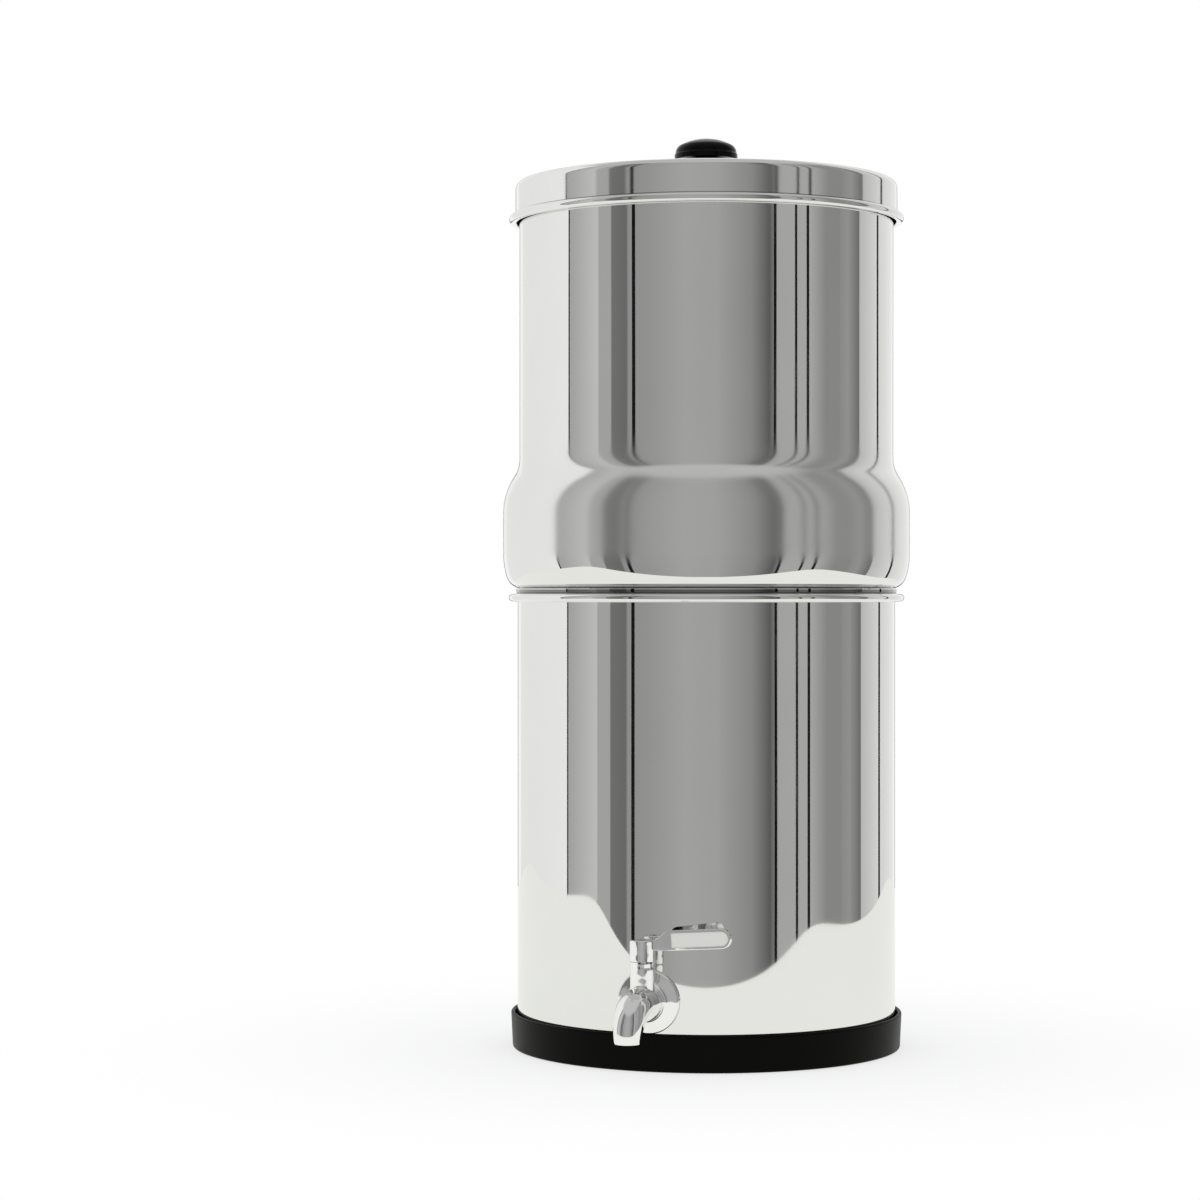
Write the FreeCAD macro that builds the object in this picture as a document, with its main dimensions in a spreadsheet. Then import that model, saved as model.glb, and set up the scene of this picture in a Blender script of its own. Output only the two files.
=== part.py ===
"""Gravity water filter with tap: two stacked steel chambers, a lid, two filter elements and a ball-valve tap.

Sizes are in millimetres. The origin is the centre of the base on the floor, +Z is up and the tap faces -Y.
"""
import FreeCAD
import Part

import math
import os

import Sketcher

Vector = FreeCAD.Vector
Rotation = FreeCAD.Rotation
Placement = FreeCAD.Placement

SIZES = {
    "Sheet steel": {
        "sheet": (0.8, "thickness of the drawn steel"),
        "drawn_corner": (5.0, "outer radius where a wall turns into a floor"),
    },
    "Lower chamber": {
        "shell_radius": (113.7, "outside of the wall"),
        "foot_height": (4.0, "underside above the floor"),
        "rim_top": (272.2, "top of the rolled rim"),
        "rim_height": (5.1, "height of the rolled rim"),
        "rim_radius": (119.2, "outside of the rolled rim"),
    },
    "Base ring": {
        "ring_foot_radius": (116.6, "outside at the floor"),
        "ring_lip_radius": (117.5, "outside at the lip"),
        "ring_height": (21.3, "overall height"),
        "ring_lip": (2.5, "thickness of the rounded lip"),
        "ring_edge": (1.2, "radius of the edge at the floor"),
        "ring_bore": (114.0, "inside of the wall, round the chamber"),
        "ring_ledge": (100.0, "inside of the ledge that the chamber stands on"),
    },
    "Upper chamber": {
        "spigot_radius": (112.2, "outside of the part that sits in the lower chamber"),
        "spigot_bottom": (250.0, "underside of its floor"),
        "neck_radius": (114.5, "outside of the band above the lower rim"),
        "neck_bottom": (273.15, "where the band starts to turn in"),
        "neck_top": (275.0, "crease between the band and the belly"),
        "neck_round": (1.4, "radius of that turn"),
        "belly_foot": (115.2, "outside of the belly at the crease"),
        "belly_radius": (122.5, "outside of the belly"),
        "belly_slope": (60.0, "its slope from the vertical at the crease, degrees"),
        "belly_turn": (18.3, "its slope where the two lower arcs meet, degrees"),
        "belly_round": (46.0, "radius of the upper one of those arcs"),
        "belly_high": (320.0, "upper end of its straight stretch"),
        "shoulder_angle": (33.0, "steepest slope of the shoulder from the vertical, degrees"),
        "shoulder_round": (42.0, "outer radius of its convex arc"),
        "wall_radius": (112.6, "outside of the wall above the shoulder"),
        "hem_top": (517.2, "top of the folded hem"),
        "hem_height": (4.3, "height of the folded hem"),
        "hem_width": (1.8, "thickness of the folded hem"),
        "filter_offset": (52.0, "each filter's distance from the middle"),
        "filter_hole": (7.2, "radius of each hole in the floor"),
    },
    "Lid": {
        "lid_radius": (115.0, "outside of the skirt"),
        "lid_top": (519.6, "top face"),
        "lid_corner": (4.5, "outer radius between the top and the skirt"),
        "lid_bead_radius": (118.75, "outside of the rolled edge"),
        "lid_bead_top": (499.75, "top of the rolled edge"),
        "lid_bead_height": (5.1, "height of the rolled edge"),
        "lid_bead_lip": (1.0, "radius of its inner lower edge"),
        "lid_hole": (2.7, "radius of the hole for the knob's screw"),
    },
    "Knob": {
        "knob_foot": (11.0, "radius on the lid"),
        "knob_foot_height": (1.8, "height of that foot"),
        "knob_waist": (8.6, "radius of the waist"),
        "knob_waist_height": (6.0, "height of the waist"),
        "knob_lip": (19.0, "radius of the lip"),
        "knob_lip_low": (14.2, "underside of the lip above the lid"),
        "knob_lip_high": (18.2, "crease above the lip"),
        "knob_dome": (18.4, "radius of the dome at the crease"),
        "knob_shoulder": (5.5, "radius of the dome's shoulder"),
        "knob_height": (26.8, "overall height above the lid"),
        "knob_bore": (2.5, "radius of the blind screw hole"),
        "knob_bore_depth": (12.0, "depth of that hole"),
        "knob_washer_radius": (8.0, "washer under the lid"),
        "knob_washer": (1.0, "thickness of that washer"),
        "screw_head": (4.6, "radius of the knob screw's head"),
        "screw_head_height": (2.6, "height of that head"),
    },
    "Filter element": {
        "block_radius": (32.5, "carbon block"),
        "block_core": (10.0, "radius of the hollow core"),
        "block_end": (20.0, "carbon left above the core"),
        "block_edge": (1.5, "chamfer at the closed end"),
        "element_height": (229.0, "cap and block together"),
        "cap_radius": (35.6, "outside of the cap"),
        "cap_height": (13.5, "height of the cap"),
        "cap_floor": (3.5, "thickness of its end"),
        "cap_gap": (0.1, "gap round the block in the cap"),
        "cap_edge": (1.0, "radius of its edge"),
        "boss_radius": (13.25, "boss and washer"),
        "boss_height": (5.0, "boss under the cap"),
        "stem_radius": (6.75, "threaded stem"),
        "stem_length": (18.0, "threaded stretch below the boss"),
        "tip_radius": (5.25, "outlet tip at the thread"),
        "tip_end": (4.6, "outlet tip at its end"),
        "tip_length": (9.0, "length of the outlet tip"),
        "outlet_bore": (3.0, "water way through the stem"),
        "filter_washer": (3.0, "thickness of the rubber washer"),
        "stem_gap": (0.1, "radial gap round the stem"),
    },
    "Wing nut": {
        "nut_hub": (9.5, "radius of the hub"),
        "nut_height": (12.0, "overall height"),
        "wing_span": (34.5, "tip to tip"),
        "wing_height": (7.5, "height of the wings"),
        "wing_thickness": (6.0, "thickness of the wings"),
    },
    "Tap": {
        "tap_height": (39.8, "middle of the ball above the floor"),
        "stem_distance": (12.4, "stem from the chamber wall"),
        "barrel_radius": (10.0, "outside round the ball"),
        "barrel_front": (8.0, "end of the turned barrel in front of the stem"),
        "flange_radius": (18.4, "round flange"),
        "flange_gap": (0.5, "flange from the wall at its middle"),
        "flange_edge": (0.8, "straight edge of the flange"),
        "flange_round": (1.2, "radius of its front edge"),
        "flange_slope": (14.0, "slope of its face, degrees"),
        "flange_fillet": (4.0, "fillet between the flange and the barrel"),
        "fillet_start": (5.0, "where that fillet meets the barrel"),
        "cavity_radius": (7.5, "ball cavity"),
        "cavity_half": (7.0, "cavity to either side of the stem"),
        "shank_thread": (8.0, "radius of the thread behind the cavity"),
        "wall_hole": (8.2, "radius of the hole in the chamber wall"),
        "shank_radius": (7.9, "threaded shank"),
        "shank_bore": (5.0, "water way through the shank"),
        "shank_nose": (7.1, "shank's end behind the stem"),
        "shank_length": (27.0, "length of the shank"),
        "shank_lead": (0.8, "chamfer at the shank's inner end"),
        "tower_radius": (6.9, "stem housing"),
        "tower_top": (20.6, "top of the stem housing above the ball"),
        "lug_top": (24.2, "top of the stop lug"),
        "lug_bore": (5.6, "inside of the stop lug"),
        "lug_middle": (-138.0, "direction of the stop lug, degrees from +X"),
        "lug_span": (87.0, "width of the stop lug, degrees"),
    },
    "Spout": {
        "bend_start": (10.0, "where the spout starts to bend, in front of the stem"),
        "bend_radius": (17.0, "bend of its middle line"),
        "spout_drop": (18.8, "outlet below the ball"),
        "spout_radius": (10.0, "outside at the start"),
        "spout_half": (9.3, "outside at half the bend"),
        "spout_end": (7.8, "outside at the end of the bend"),
        "outlet_radius": (7.5, "outside at the outlet"),
        "passage_start": (4.8, "water way at the ball"),
        "passage_end": (5.6, "water way at the outlet"),
    },
    "Valve": {
        "ball_radius": (6.0, "valve ball"),
        "ball_bore": (3.8, "water way through the ball"),
        "slot_width": (2.6, "slot in the ball for the stem"),
        "slot_depth": (2.1, "depth of that slot"),
        "seat_gap": (0.1, "ball to seat"),
        "seat_bore": (4.1, "inside of a seat"),
        "seat_outer": (7.4, "outside of a seat"),
        "seat_front": (3.4, "seat's near face from the stem"),
        "seat_back": (6.9, "seat's far face from the stem"),
        "tongue": (2.4, "thickness of the stem's tongue"),
        "tongue_width": (5.6, "width of that tongue"),
        "tongue_bottom": (4.1, "lower end of that tongue"),
        "collar_radius": (4.4, "collar that keeps the stem in"),
        "collar_bottom": (7.7, "its underside"),
        "collar_top": (11.4, "its top"),
        "thrust_washer": (0.5, "thickness of the washer on it"),
        "stem_pocket": (4.6, "radius of the collar's pocket and of the seals' pocket"),
        "pocket_top": (12.0, "top of the collar's pocket"),
        "seal_bottom": (14.5, "bottom of the seals' pocket"),
        "spindle_radius": (3.1, "valve stem"),
        "spindle_hole": (3.2, "hole for the valve stem"),
        "spindle_top": (24.5, "where the stem turns square"),
        "square": (4.3, "width of the square"),
        "square_top": (33.2, "top of the square"),
        "square_gap": (0.2, "play of the square in the lever"),
        "ring_section": (0.7, "radius of a seal ring's section"),
        "ring_middle": (3.82, "radius of a seal ring's middle line"),
        "ring_low": (15.4, "lower seal ring"),
        "ring_high": (16.9, "upper seal ring"),
        "gland_bottom": (17.8, "lower end of the gland nut"),
        "gland_radius": (4.55, "threaded part of the gland nut"),
        "gland_head": (5.2, "corners of its hexagon"),
        "gland_head_height": (2.4, "height of its hexagon"),
    },
    "Lever": {
        "hub_radius": (7.1, "hub"),
        "hub_bottom": (24.5, "underside of the hub"),
        "hub_top": (36.5, "top of the hub"),
        "hub_edge": (0.8, "radius of its top edge"),
        "skirt_bottom": (20.8, "lower end of the stop skirt"),
        "skirt_bore": (5.7, "inside of the stop skirt"),
        "skirt_middle": (87.0, "direction of the stop skirt, degrees from +X"),
        "skirt_span": (180.0, "width of the stop skirt, degrees"),
        "lever_tilt": (4.0, "rise of the paddle, degrees"),
        "lever_axis": (35.45, "paddle's middle line at the stem"),
        "lever_reach": (52.6, "tip from the stem"),
        "lever_half": (5.65, "half the paddle's height"),
        "lever_thickness": (3.4, "thickness of the paddle"),
        "lever_root": (4.0, "where the arm starts inside the hub"),
        "root_low": (-4.9, "lower side of the arm at the hub"),
        "root_high": (-0.2, "upper side of the arm at the hub"),
        "neck_low": (13.0, "where the lower side meets the paddle"),
        "neck_side": (6.4, "where the upper side leaves the hub"),
        "neck_rise": (12.8, "start of the upper side's rounding"),
        "neck_rise_height": (3.9, "its height"),
        "neck_blend": (6.0, "radius of that rounding"),
        "neck_end": (17.0, "where the paddle's straight upper side starts"),
        "field_start": (17.6, "start of the sunk field"),
        "field_inset": (1.5, "its distance from the edge"),
        "field_depth": (0.35, "its depth"),
        "lever_screw": (1.45, "radius of the lever's screw"),
        "lever_screw_head": (3.0, "radius of its head"),
        "lever_screw_bottom": (27.5, "its lower end"),
    },
    "Tap fixing": {
        "gasket_radius": (15.0, "both gaskets"),
        "gasket_bore": (8.0, "holes of both gaskets"),
        "gasket_inside": (2.5, "thickness of the inner gasket at its middle"),
        "lock_nut": (13.86, "corners of the lock nut"),
        "lock_nut_bore": (7.95, "thread of the lock nut"),
        "lock_nut_height": (6.0, "height of the lock nut"),
        "lock_nut_crown": (13.2, "radius of the sphere that takes its corners off"),
    },
}


class Size:
    """A number together with the spreadsheet expression that gives it."""

    def __init__(self, value, text):
        self.value = value
        self.text = text

    def __add__(self, other):
        other = size(other)
        return Size(self.value + other.value, f"({self.text} + {other.text})")

    def __sub__(self, other):
        other = size(other)
        return Size(self.value - other.value, f"({self.text} - {other.text})")

    def __mul__(self, other):
        other = size(other)
        return Size(self.value * other.value, f"({self.text} * {other.text})")

    def __truediv__(self, other):
        other = size(other)
        return Size(self.value / other.value, f"({self.text} / {other.text})")

    def __radd__(self, other):
        return size(other) + self

    def __rsub__(self, other):
        return size(other) - self

    def __rmul__(self, other):
        return size(other) * self

    def __rtruediv__(self, other):
        return size(other) / self

    def __neg__(self):
        return Size(-self.value, f"(0 - {self.text})")


def size(thing):
    """A Size from a Size or a plain number."""
    if isinstance(thing, Size):
        return thing
    return Size(float(thing), repr(float(thing)))


def sine(angle):
    angle = size(angle)
    return Size(math.sin(math.radians(angle.value)), f"sin({angle.text} * 1 deg)")


def cosine(angle):
    angle = size(angle)
    return Size(math.cos(math.radians(angle.value)), f"cos({angle.text} * 1 deg)")


def tangent(angle):
    return sine(angle) / cosine(angle)


def root(square):
    square = size(square)
    return Size(math.sqrt(square.value), f"sqrt({square.text})")


class Sheet:
    """The spreadsheet of driving dimensions, read as attributes."""

    def __init__(self, document):
        cells = document.addObject("Spreadsheet::Sheet", "Sizes")
        row = 0
        for group, entries in SIZES.items():
            row += 1
            cells.set(f"A{row}", group)
            for alias, (value, meaning) in entries.items():
                row += 1
                cells.set(f"A{row}", alias)
                cells.set(f"B{row}", str(value))
                cells.set(f"C{row}", meaning)
                cells.setAlias(f"B{row}", alias)
                setattr(self, alias, Size(value, f"Sizes.{alias}"))


doc = FreeCAD.newDocument("GravityWaterFilter")
s = Sheet(doc)
doc.recompute()
nodes = []

# Values that several pieces share
half_rim = s.rim_height / 2
shell_inside = s.shell_radius - s.sheet
stem_y = s.shell_radius + s.stem_distance
flange_back = s.stem_distance - s.flange_gap
under_lid = s.lid_top - s.sheet
cap_level = s.spigot_bottom + s.sheet + s.filter_washer + s.boss_height


# Helpers

def bind(thing, path, value):
    """Tie a property to the spreadsheet."""
    thing.setExpression(path, size(value).text)


def move(thing, x=0, y=0, z=0, rotation=None):
    """Give a part its placement, tied to the spreadsheet."""
    spot = Vector(size(x).value, size(y).value, size(z).value)
    thing.Placement = Placement(spot, rotation or Rotation())
    for axis, value in (("x", x), ("y", y), ("z", z)):
        if isinstance(value, Size):
            bind(thing, f"Placement.Base.{axis}", value)


def keep(thing, label):
    """Count a part as one that is written, under this name."""
    thing.Label = label
    nodes.append(thing)
    return thing


def new_body(label):
    return keep(doc.addObject("PartDesign::Body", label), label)


def tap_body_at_ball(label):
    """A body whose own origin is the middle of the tap's ball."""
    body = new_body(label)
    move(body, y=-stem_y, z=s.tap_height)
    return body


def new_sketch(body, role, name, offset=None):
    """A sketch on one of the body's own planes, moved by (x, y, z, axis, angle) if given."""
    sketch = body.newObject("Sketcher::SketchObject", name)
    plane = next(item for item in body.Origin.OriginFeatures if item.Role == role)
    sketch.AttachmentSupport = [(plane, "")]
    sketch.MapMode = "FlatFace"
    if offset:
        x, y, z, axis, angle = offset
        spot = Vector(size(x).value, size(y).value, size(z).value)
        sketch.AttachmentOffset = Placement(spot, Rotation(axis, size(angle).value))
        for letter, value in (("x", x), ("y", y), ("z", z)):
            bind(sketch, f"AttachmentOffset.Base.{letter}", value)
        bind(sketch, "AttachmentOffset.Rotation.Angle", angle)
    return sketch


def arc_between(start, end, radius):
    """The arc from start to end that turns left for a positive radius and right for a negative one."""
    chord = end - start
    half = chord.Length / 2
    rise = math.sqrt(max(radius * radius - half * half, 0.0))
    left = Vector(-chord.y, chord.x, 0).normalize()
    centre = (start + end) * 0.5 + left * math.copysign(rise, radius)
    first, last = (start, end) if radius > 0 else (end, start)
    angles = [math.atan2(point.y - centre.y, point.x - centre.x) for point in (first, last)]
    return Part.ArcOfCircle(Part.Circle(centre, Vector(0, 0, 1), abs(radius)), *angles)


def fix_point(sketch, geometry, end, x, y):
    """Tie a sketch point to its two coordinates."""
    for kind, value, axis in (("DistanceX", x, -2), ("DistanceY", y, -1)):
        value = size(value)
        if abs(value.value) < 1e-9:
            sketch.addConstraint(Sketcher.Constraint("PointOnObject", geometry, end, axis))
        else:
            index = sketch.addConstraint(Sketcher.Constraint(kind, -1, 1, geometry, end, value.value))
            bind(sketch, f"Constraints[{index}]", value)


def outline(sketch, corners):
    """Draw a closed outline. A corner is (x, y), or (x, y, radius) where an arc leads to the next one."""
    points = [Vector(size(corner[0]).value, size(corner[1]).value, 0) for corner in corners]
    ends = []
    for index, corner in enumerate(corners):
        start = points[index]
        end = points[(index + 1) % len(points)]
        if len(corner) == 3:
            radius = size(corner[2])
            edge = sketch.addGeometry(arc_between(start, end, radius.value))
            ends.append((edge, 1, 2) if radius.value > 0 else (edge, 2, 1))
            size_of_arc = radius if radius.value > 0 else -radius
            tie = sketch.addConstraint(Sketcher.Constraint("Radius", edge, size_of_arc.value))
            bind(sketch, f"Constraints[{tie}]", size_of_arc)
        else:
            edge = sketch.addGeometry(Part.LineSegment(start, end))
            ends.append((edge, 1, 2))
    for index, (edge, first, last) in enumerate(ends):
        following = ends[(index + 1) % len(ends)]
        sketch.addConstraint(Sketcher.Constraint("Coincident", edge, last, following[0], following[1]))
        fix_point(sketch, edge, first, corners[index][0], corners[index][1])
    return sketch


def circle(sketch, radius, x=0, y=0):
    """Draw a circle."""
    radius = size(radius)
    spot = Vector(size(x).value, size(y).value, 0)
    edge = sketch.addGeometry(Part.Circle(spot, Vector(0, 0, 1), radius.value))
    index = sketch.addConstraint(Sketcher.Constraint("Radius", edge, radius.value))
    bind(sketch, f"Constraints[{index}]", radius)
    fix_point(sketch, edge, 3, x, y)
    return sketch


def rectangle(sketch, width, height, y=0):
    """Draw a rectangle about the sketch's vertical axis, its middle at the height y."""
    half_width = size(width) / 2
    low = size(y) - size(height) / 2
    high = size(y) + size(height) / 2
    return outline(sketch, [(-half_width, low), (half_width, low), (half_width, high), (-half_width, high)])


def turn(body, name, corners, kind="Revolution", role="XZ_Plane", axis="V_Axis", span=None, middle=None):
    """Turn an outline round the body's axis, all the way or over a span about a direction."""
    offset = (0, 0, 0, Vector(0, 1, 0), middle) if middle else None
    sketch = outline(new_sketch(body, role, f"{name}Outline", offset), corners)
    feature = body.newObject(f"PartDesign::{kind}", name)
    feature.Profile = sketch
    feature.ReferenceAxis = (sketch, [axis])
    feature.Angle = 360
    if span:
        feature.Midplane = True
        bind(feature, "Angle", span)
    return feature


def extrude(body, name, sketch, length, kind="Pad", backwards=False, both_ways=False):
    """Pad or pocket a sketch by a length."""
    feature = body.newObject(f"PartDesign::{kind}", name)
    feature.Profile = sketch
    bind(feature, "Length", length)
    feature.Reversed = backwards
    if both_ways:
        feature.SideType = "Symmetric"
    return feature


def primitive(kind, name, **values):
    """A Part primitive with its sizes tied to the spreadsheet."""
    thing = doc.addObject(f"Part::{kind}", name)
    for key, value in values.items():
        bind(thing, key, value)
    return thing


def boolean(kind, name, base, tool):
    thing = doc.addObject(f"Part::{kind}", name)
    thing.Base = base
    thing.Tool = tool
    return thing


ALONG_Y = Rotation(Vector(1, 0, 0), -90)
ALONG_X = Rotation(Vector(0, 1, 0), 90)


# Lower chamber: one drawn can with a rolled rim and a hole for the tap

def make_lower_chamber():
    body = new_body("lower_chamber")
    floor = s.foot_height
    rim_low = s.rim_top - s.rim_height
    rim_middle = s.rim_top - half_rim
    turn(body, "Can", [
        (0, floor),
        (s.shell_radius - s.drawn_corner, floor, s.drawn_corner),
        (s.shell_radius, floor + s.drawn_corner),
        (s.shell_radius, rim_low),
        (s.rim_radius - half_rim, rim_low, half_rim),
        (s.rim_radius, rim_middle, half_rim),
        (s.rim_radius - half_rim, s.rim_top),
        (shell_inside + half_rim, s.rim_top, half_rim),
        (shell_inside, rim_middle),
        (shell_inside, floor + s.drawn_corner, -(s.drawn_corner - s.sheet)),
        (s.shell_radius - s.drawn_corner, floor + s.sheet),
        (0, floor + s.sheet),
    ])
    hole = circle(new_sketch(body, "XZ_Plane", "TapHoleOutline"), s.wall_hole, 0, s.tap_height)
    extrude(body, "TapHole", hole, s.shell_radius + s.sheet, "Pocket", backwards=True)


# Base ring: a rubber ring with a rounded lip and a ledge under the chamber

def make_base_ring():
    body = new_body("base_ring")
    half_lip = s.ring_lip / 2
    lip_level = s.ring_height - half_lip
    inside = s.ring_lip_radius - s.ring_lip
    turn(body, "Ring", [
        (s.ring_ledge, 0),
        (s.ring_foot_radius - s.ring_edge, 0, s.ring_edge),
        (s.ring_foot_radius, s.ring_edge),
        (s.ring_lip_radius, lip_level, half_lip),
        (s.ring_lip_radius - half_lip, s.ring_height, half_lip),
        (inside, lip_level),
        (inside, lip_level - s.ring_lip),
        (s.ring_bore, lip_level - 2 * s.ring_lip),
        (s.ring_bore, s.foot_height),
        (s.ring_ledge, s.foot_height),
    ])


# Upper chamber: spigot, band, belly, shoulder, wall and hem in one drawn can

def make_upper_chamber():
    body = new_body("upper_chamber")
    floor = s.spigot_bottom
    inside = s.spigot_radius - s.sheet
    diagonal = cosine(45)
    turn_in = 1 - diagonal
    seat_radius = s.neck_radius - s.neck_round * turn_in
    seat_level = s.neck_bottom - s.neck_round * diagonal
    cone_level = seat_level - (seat_radius - s.spigot_radius)
    inner_round = s.neck_round - s.sheet
    inner_neck = s.neck_radius - s.sheet
    crease = s.neck_top + s.sheet / 2
    turn_lean = 1 - cosine(s.belly_turn)
    meet_out = s.belly_radius - s.belly_round * turn_lean
    foot_round = (meet_out - s.belly_foot) / (cosine(s.belly_turn) - cosine(s.belly_slope))
    meet_level = crease + foot_round * (sine(s.belly_slope) - sine(s.belly_turn))
    belly_low = meet_level + s.belly_round * sine(s.belly_turn)
    meet_in = meet_out - s.sheet * cosine(s.belly_turn)
    meet_in_level = meet_level + s.sheet * sine(s.belly_turn)
    foot_in = s.belly_foot - s.sheet * cosine(s.belly_slope)
    foot_in_level = crease + s.sheet * sine(s.belly_slope)
    slope = s.shoulder_angle
    lean = 1 - cosine(slope)
    wall_round = (s.belly_radius - s.wall_radius) / lean - s.shoulder_round
    inner_shoulder = s.shoulder_round - s.sheet
    shoulder_out = s.belly_radius - s.shoulder_round * lean
    shoulder_level = s.belly_high + s.shoulder_round * sine(slope)
    shoulder_in = s.belly_radius - s.sheet - inner_shoulder * lean
    shoulder_in_level = s.belly_high + inner_shoulder * sine(slope)
    wall_level = shoulder_level + wall_round * sine(slope)
    half_hem = s.hem_width / 2
    hem_out = s.wall_radius - s.sheet + s.hem_width
    turn(body, "Can", [
        (0, floor),
        (s.spigot_radius - s.drawn_corner, floor, s.drawn_corner),
        (s.spigot_radius, floor + s.drawn_corner),
        (s.spigot_radius, cone_level),
        (seat_radius, seat_level, s.neck_round),
        (s.neck_radius, s.neck_bottom),
        (s.neck_radius, s.neck_top),
        (s.belly_foot, crease, foot_round),
        (meet_out, meet_level, s.belly_round),
        (s.belly_radius, belly_low),
        (s.belly_radius, s.belly_high, s.shoulder_round),
        (shoulder_out, shoulder_level, -wall_round),
        (s.wall_radius, wall_level),
        (s.wall_radius, s.hem_top - s.hem_height),
        (hem_out, s.hem_top - s.hem_height + half_hem),
        (hem_out, s.hem_top - half_hem, half_hem),
        (hem_out - half_hem, s.hem_top, half_hem),
        (s.wall_radius - s.sheet, s.hem_top - half_hem),
        (s.wall_radius - s.sheet, wall_level, wall_round + s.sheet),
        (shoulder_in, shoulder_in_level, -inner_shoulder),
        (s.belly_radius - s.sheet, s.belly_high),
        (s.belly_radius - s.sheet, belly_low, -(s.belly_round - s.sheet)),
        (meet_in, meet_in_level, -(foot_round - s.sheet)),
        (foot_in, foot_in_level),
        (inner_neck, s.neck_top),
        (inner_neck, s.neck_bottom, -inner_round),
        (inner_neck - inner_round * turn_in, s.neck_bottom - inner_round * diagonal),
        (inside, cone_level + s.sheet * (1 / diagonal - 1)),
        (inside, floor + s.drawn_corner, -(s.drawn_corner - s.sheet)),
        (s.spigot_radius - s.drawn_corner, floor + s.sheet),
        (0, floor + s.sheet),
    ])
    hole = circle(new_sketch(body, "XY_Plane", "FilterHoleOutline"), s.filter_hole, s.filter_offset, 0)
    first = extrude(body, "FilterHole", hole, floor + s.drawn_corner, "Pocket", backwards=True)
    doc.recompute()
    pair = body.newObject("PartDesign::PolarPattern", "FilterHoles")
    pair.Originals = [first]
    pair.Axis = (hole, ["N_Axis"])
    pair.Angle = 360
    pair.Occurrences = 2
    body.Tip = pair


# Lid: a pressed cap with a rolled edge

def make_lid():
    body = new_body("lid")
    inside = s.lid_radius - s.sheet
    half_bead = s.lid_bead_height / 2
    bead_low = s.lid_bead_top - s.lid_bead_height
    turn(body, "Cap", [
        (s.lid_hole, under_lid),
        (s.lid_radius - s.lid_corner, under_lid, -(s.lid_corner - s.sheet)),
        (inside, s.lid_top - s.lid_corner),
        (inside, bead_low + s.lid_bead_lip, s.lid_bead_lip),
        (inside + s.lid_bead_lip, bead_low),
        (s.lid_bead_radius - half_bead, bead_low, half_bead),
        (s.lid_bead_radius, bead_low + half_bead, half_bead),
        (s.lid_bead_radius - half_bead, s.lid_bead_top),
        (s.lid_radius, s.lid_bead_top),
        (s.lid_radius, s.lid_top - s.lid_corner, s.lid_corner),
        (s.lid_radius - s.lid_corner, s.lid_top),
        (s.lid_hole, s.lid_top),
    ])


# Knob: a moulded mushroom with a lip and a domed top, held by a screw from under the lid

def make_lid_knob():
    body = new_body("lid_knob")
    base = s.lid_top
    rise = s.knob_height - s.knob_lip_high
    crown = (rise * rise + s.knob_dome * s.knob_dome - 2 * s.knob_dome * s.knob_shoulder) \
        / (2 * (rise - s.knob_shoulder))
    reach = crown - s.knob_shoulder
    joint_out = crown * (s.knob_dome - s.knob_shoulder) / reach
    joint_level = base + s.knob_height - crown + crown * (crown - rise) / reach
    flare = s.knob_lip_low - s.knob_waist_height
    lip_round = (s.knob_lip_high - s.knob_lip_low) / 4
    turn(body, "Mushroom", [
        (s.knob_bore, base),
        (s.knob_foot, base),
        (s.knob_foot, base + s.knob_foot_height),
        (s.knob_waist, base + s.knob_waist_height, -flare),
        (s.knob_waist + flare, base + s.knob_lip_low),
        (s.knob_lip - lip_round, base + s.knob_lip_low, lip_round),
        (s.knob_lip, base + s.knob_lip_low + lip_round),
        (s.knob_lip, base + s.knob_lip_high - lip_round),
        (s.knob_dome, base + s.knob_lip_high, s.knob_shoulder),
        (joint_out, joint_level, crown),
        (0, base + s.knob_height),
        (0, base + s.knob_bore_depth),
        (s.knob_bore, base + s.knob_bore_depth),
    ])


def make_knob_washer():
    body = new_body("knob_washer")
    turn(body, "Washer", [
        (s.lid_hole, under_lid - s.knob_washer),
        (s.knob_washer_radius, under_lid - s.knob_washer),
        (s.knob_washer_radius, under_lid),
        (s.lid_hole, under_lid),
    ])


def make_knob_screw():
    body = new_body("knob_screw")
    seat = under_lid - s.knob_washer
    shank = s.knob_bore - s.stem_gap
    edge = s.screw_head_height / 2
    turn(body, "Screw", [
        (0, seat - s.screw_head_height),
        (s.screw_head - edge, seat - s.screw_head_height, edge),
        (s.screw_head, seat - edge),
        (s.screw_head, seat),
        (shank, seat),
        (shank, s.lid_top + s.knob_bore_depth - 1),
        (0, s.lid_top + s.knob_bore_depth - 1),
    ])


# Filter elements: each body's own origin is the middle of the cap's lower face

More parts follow.
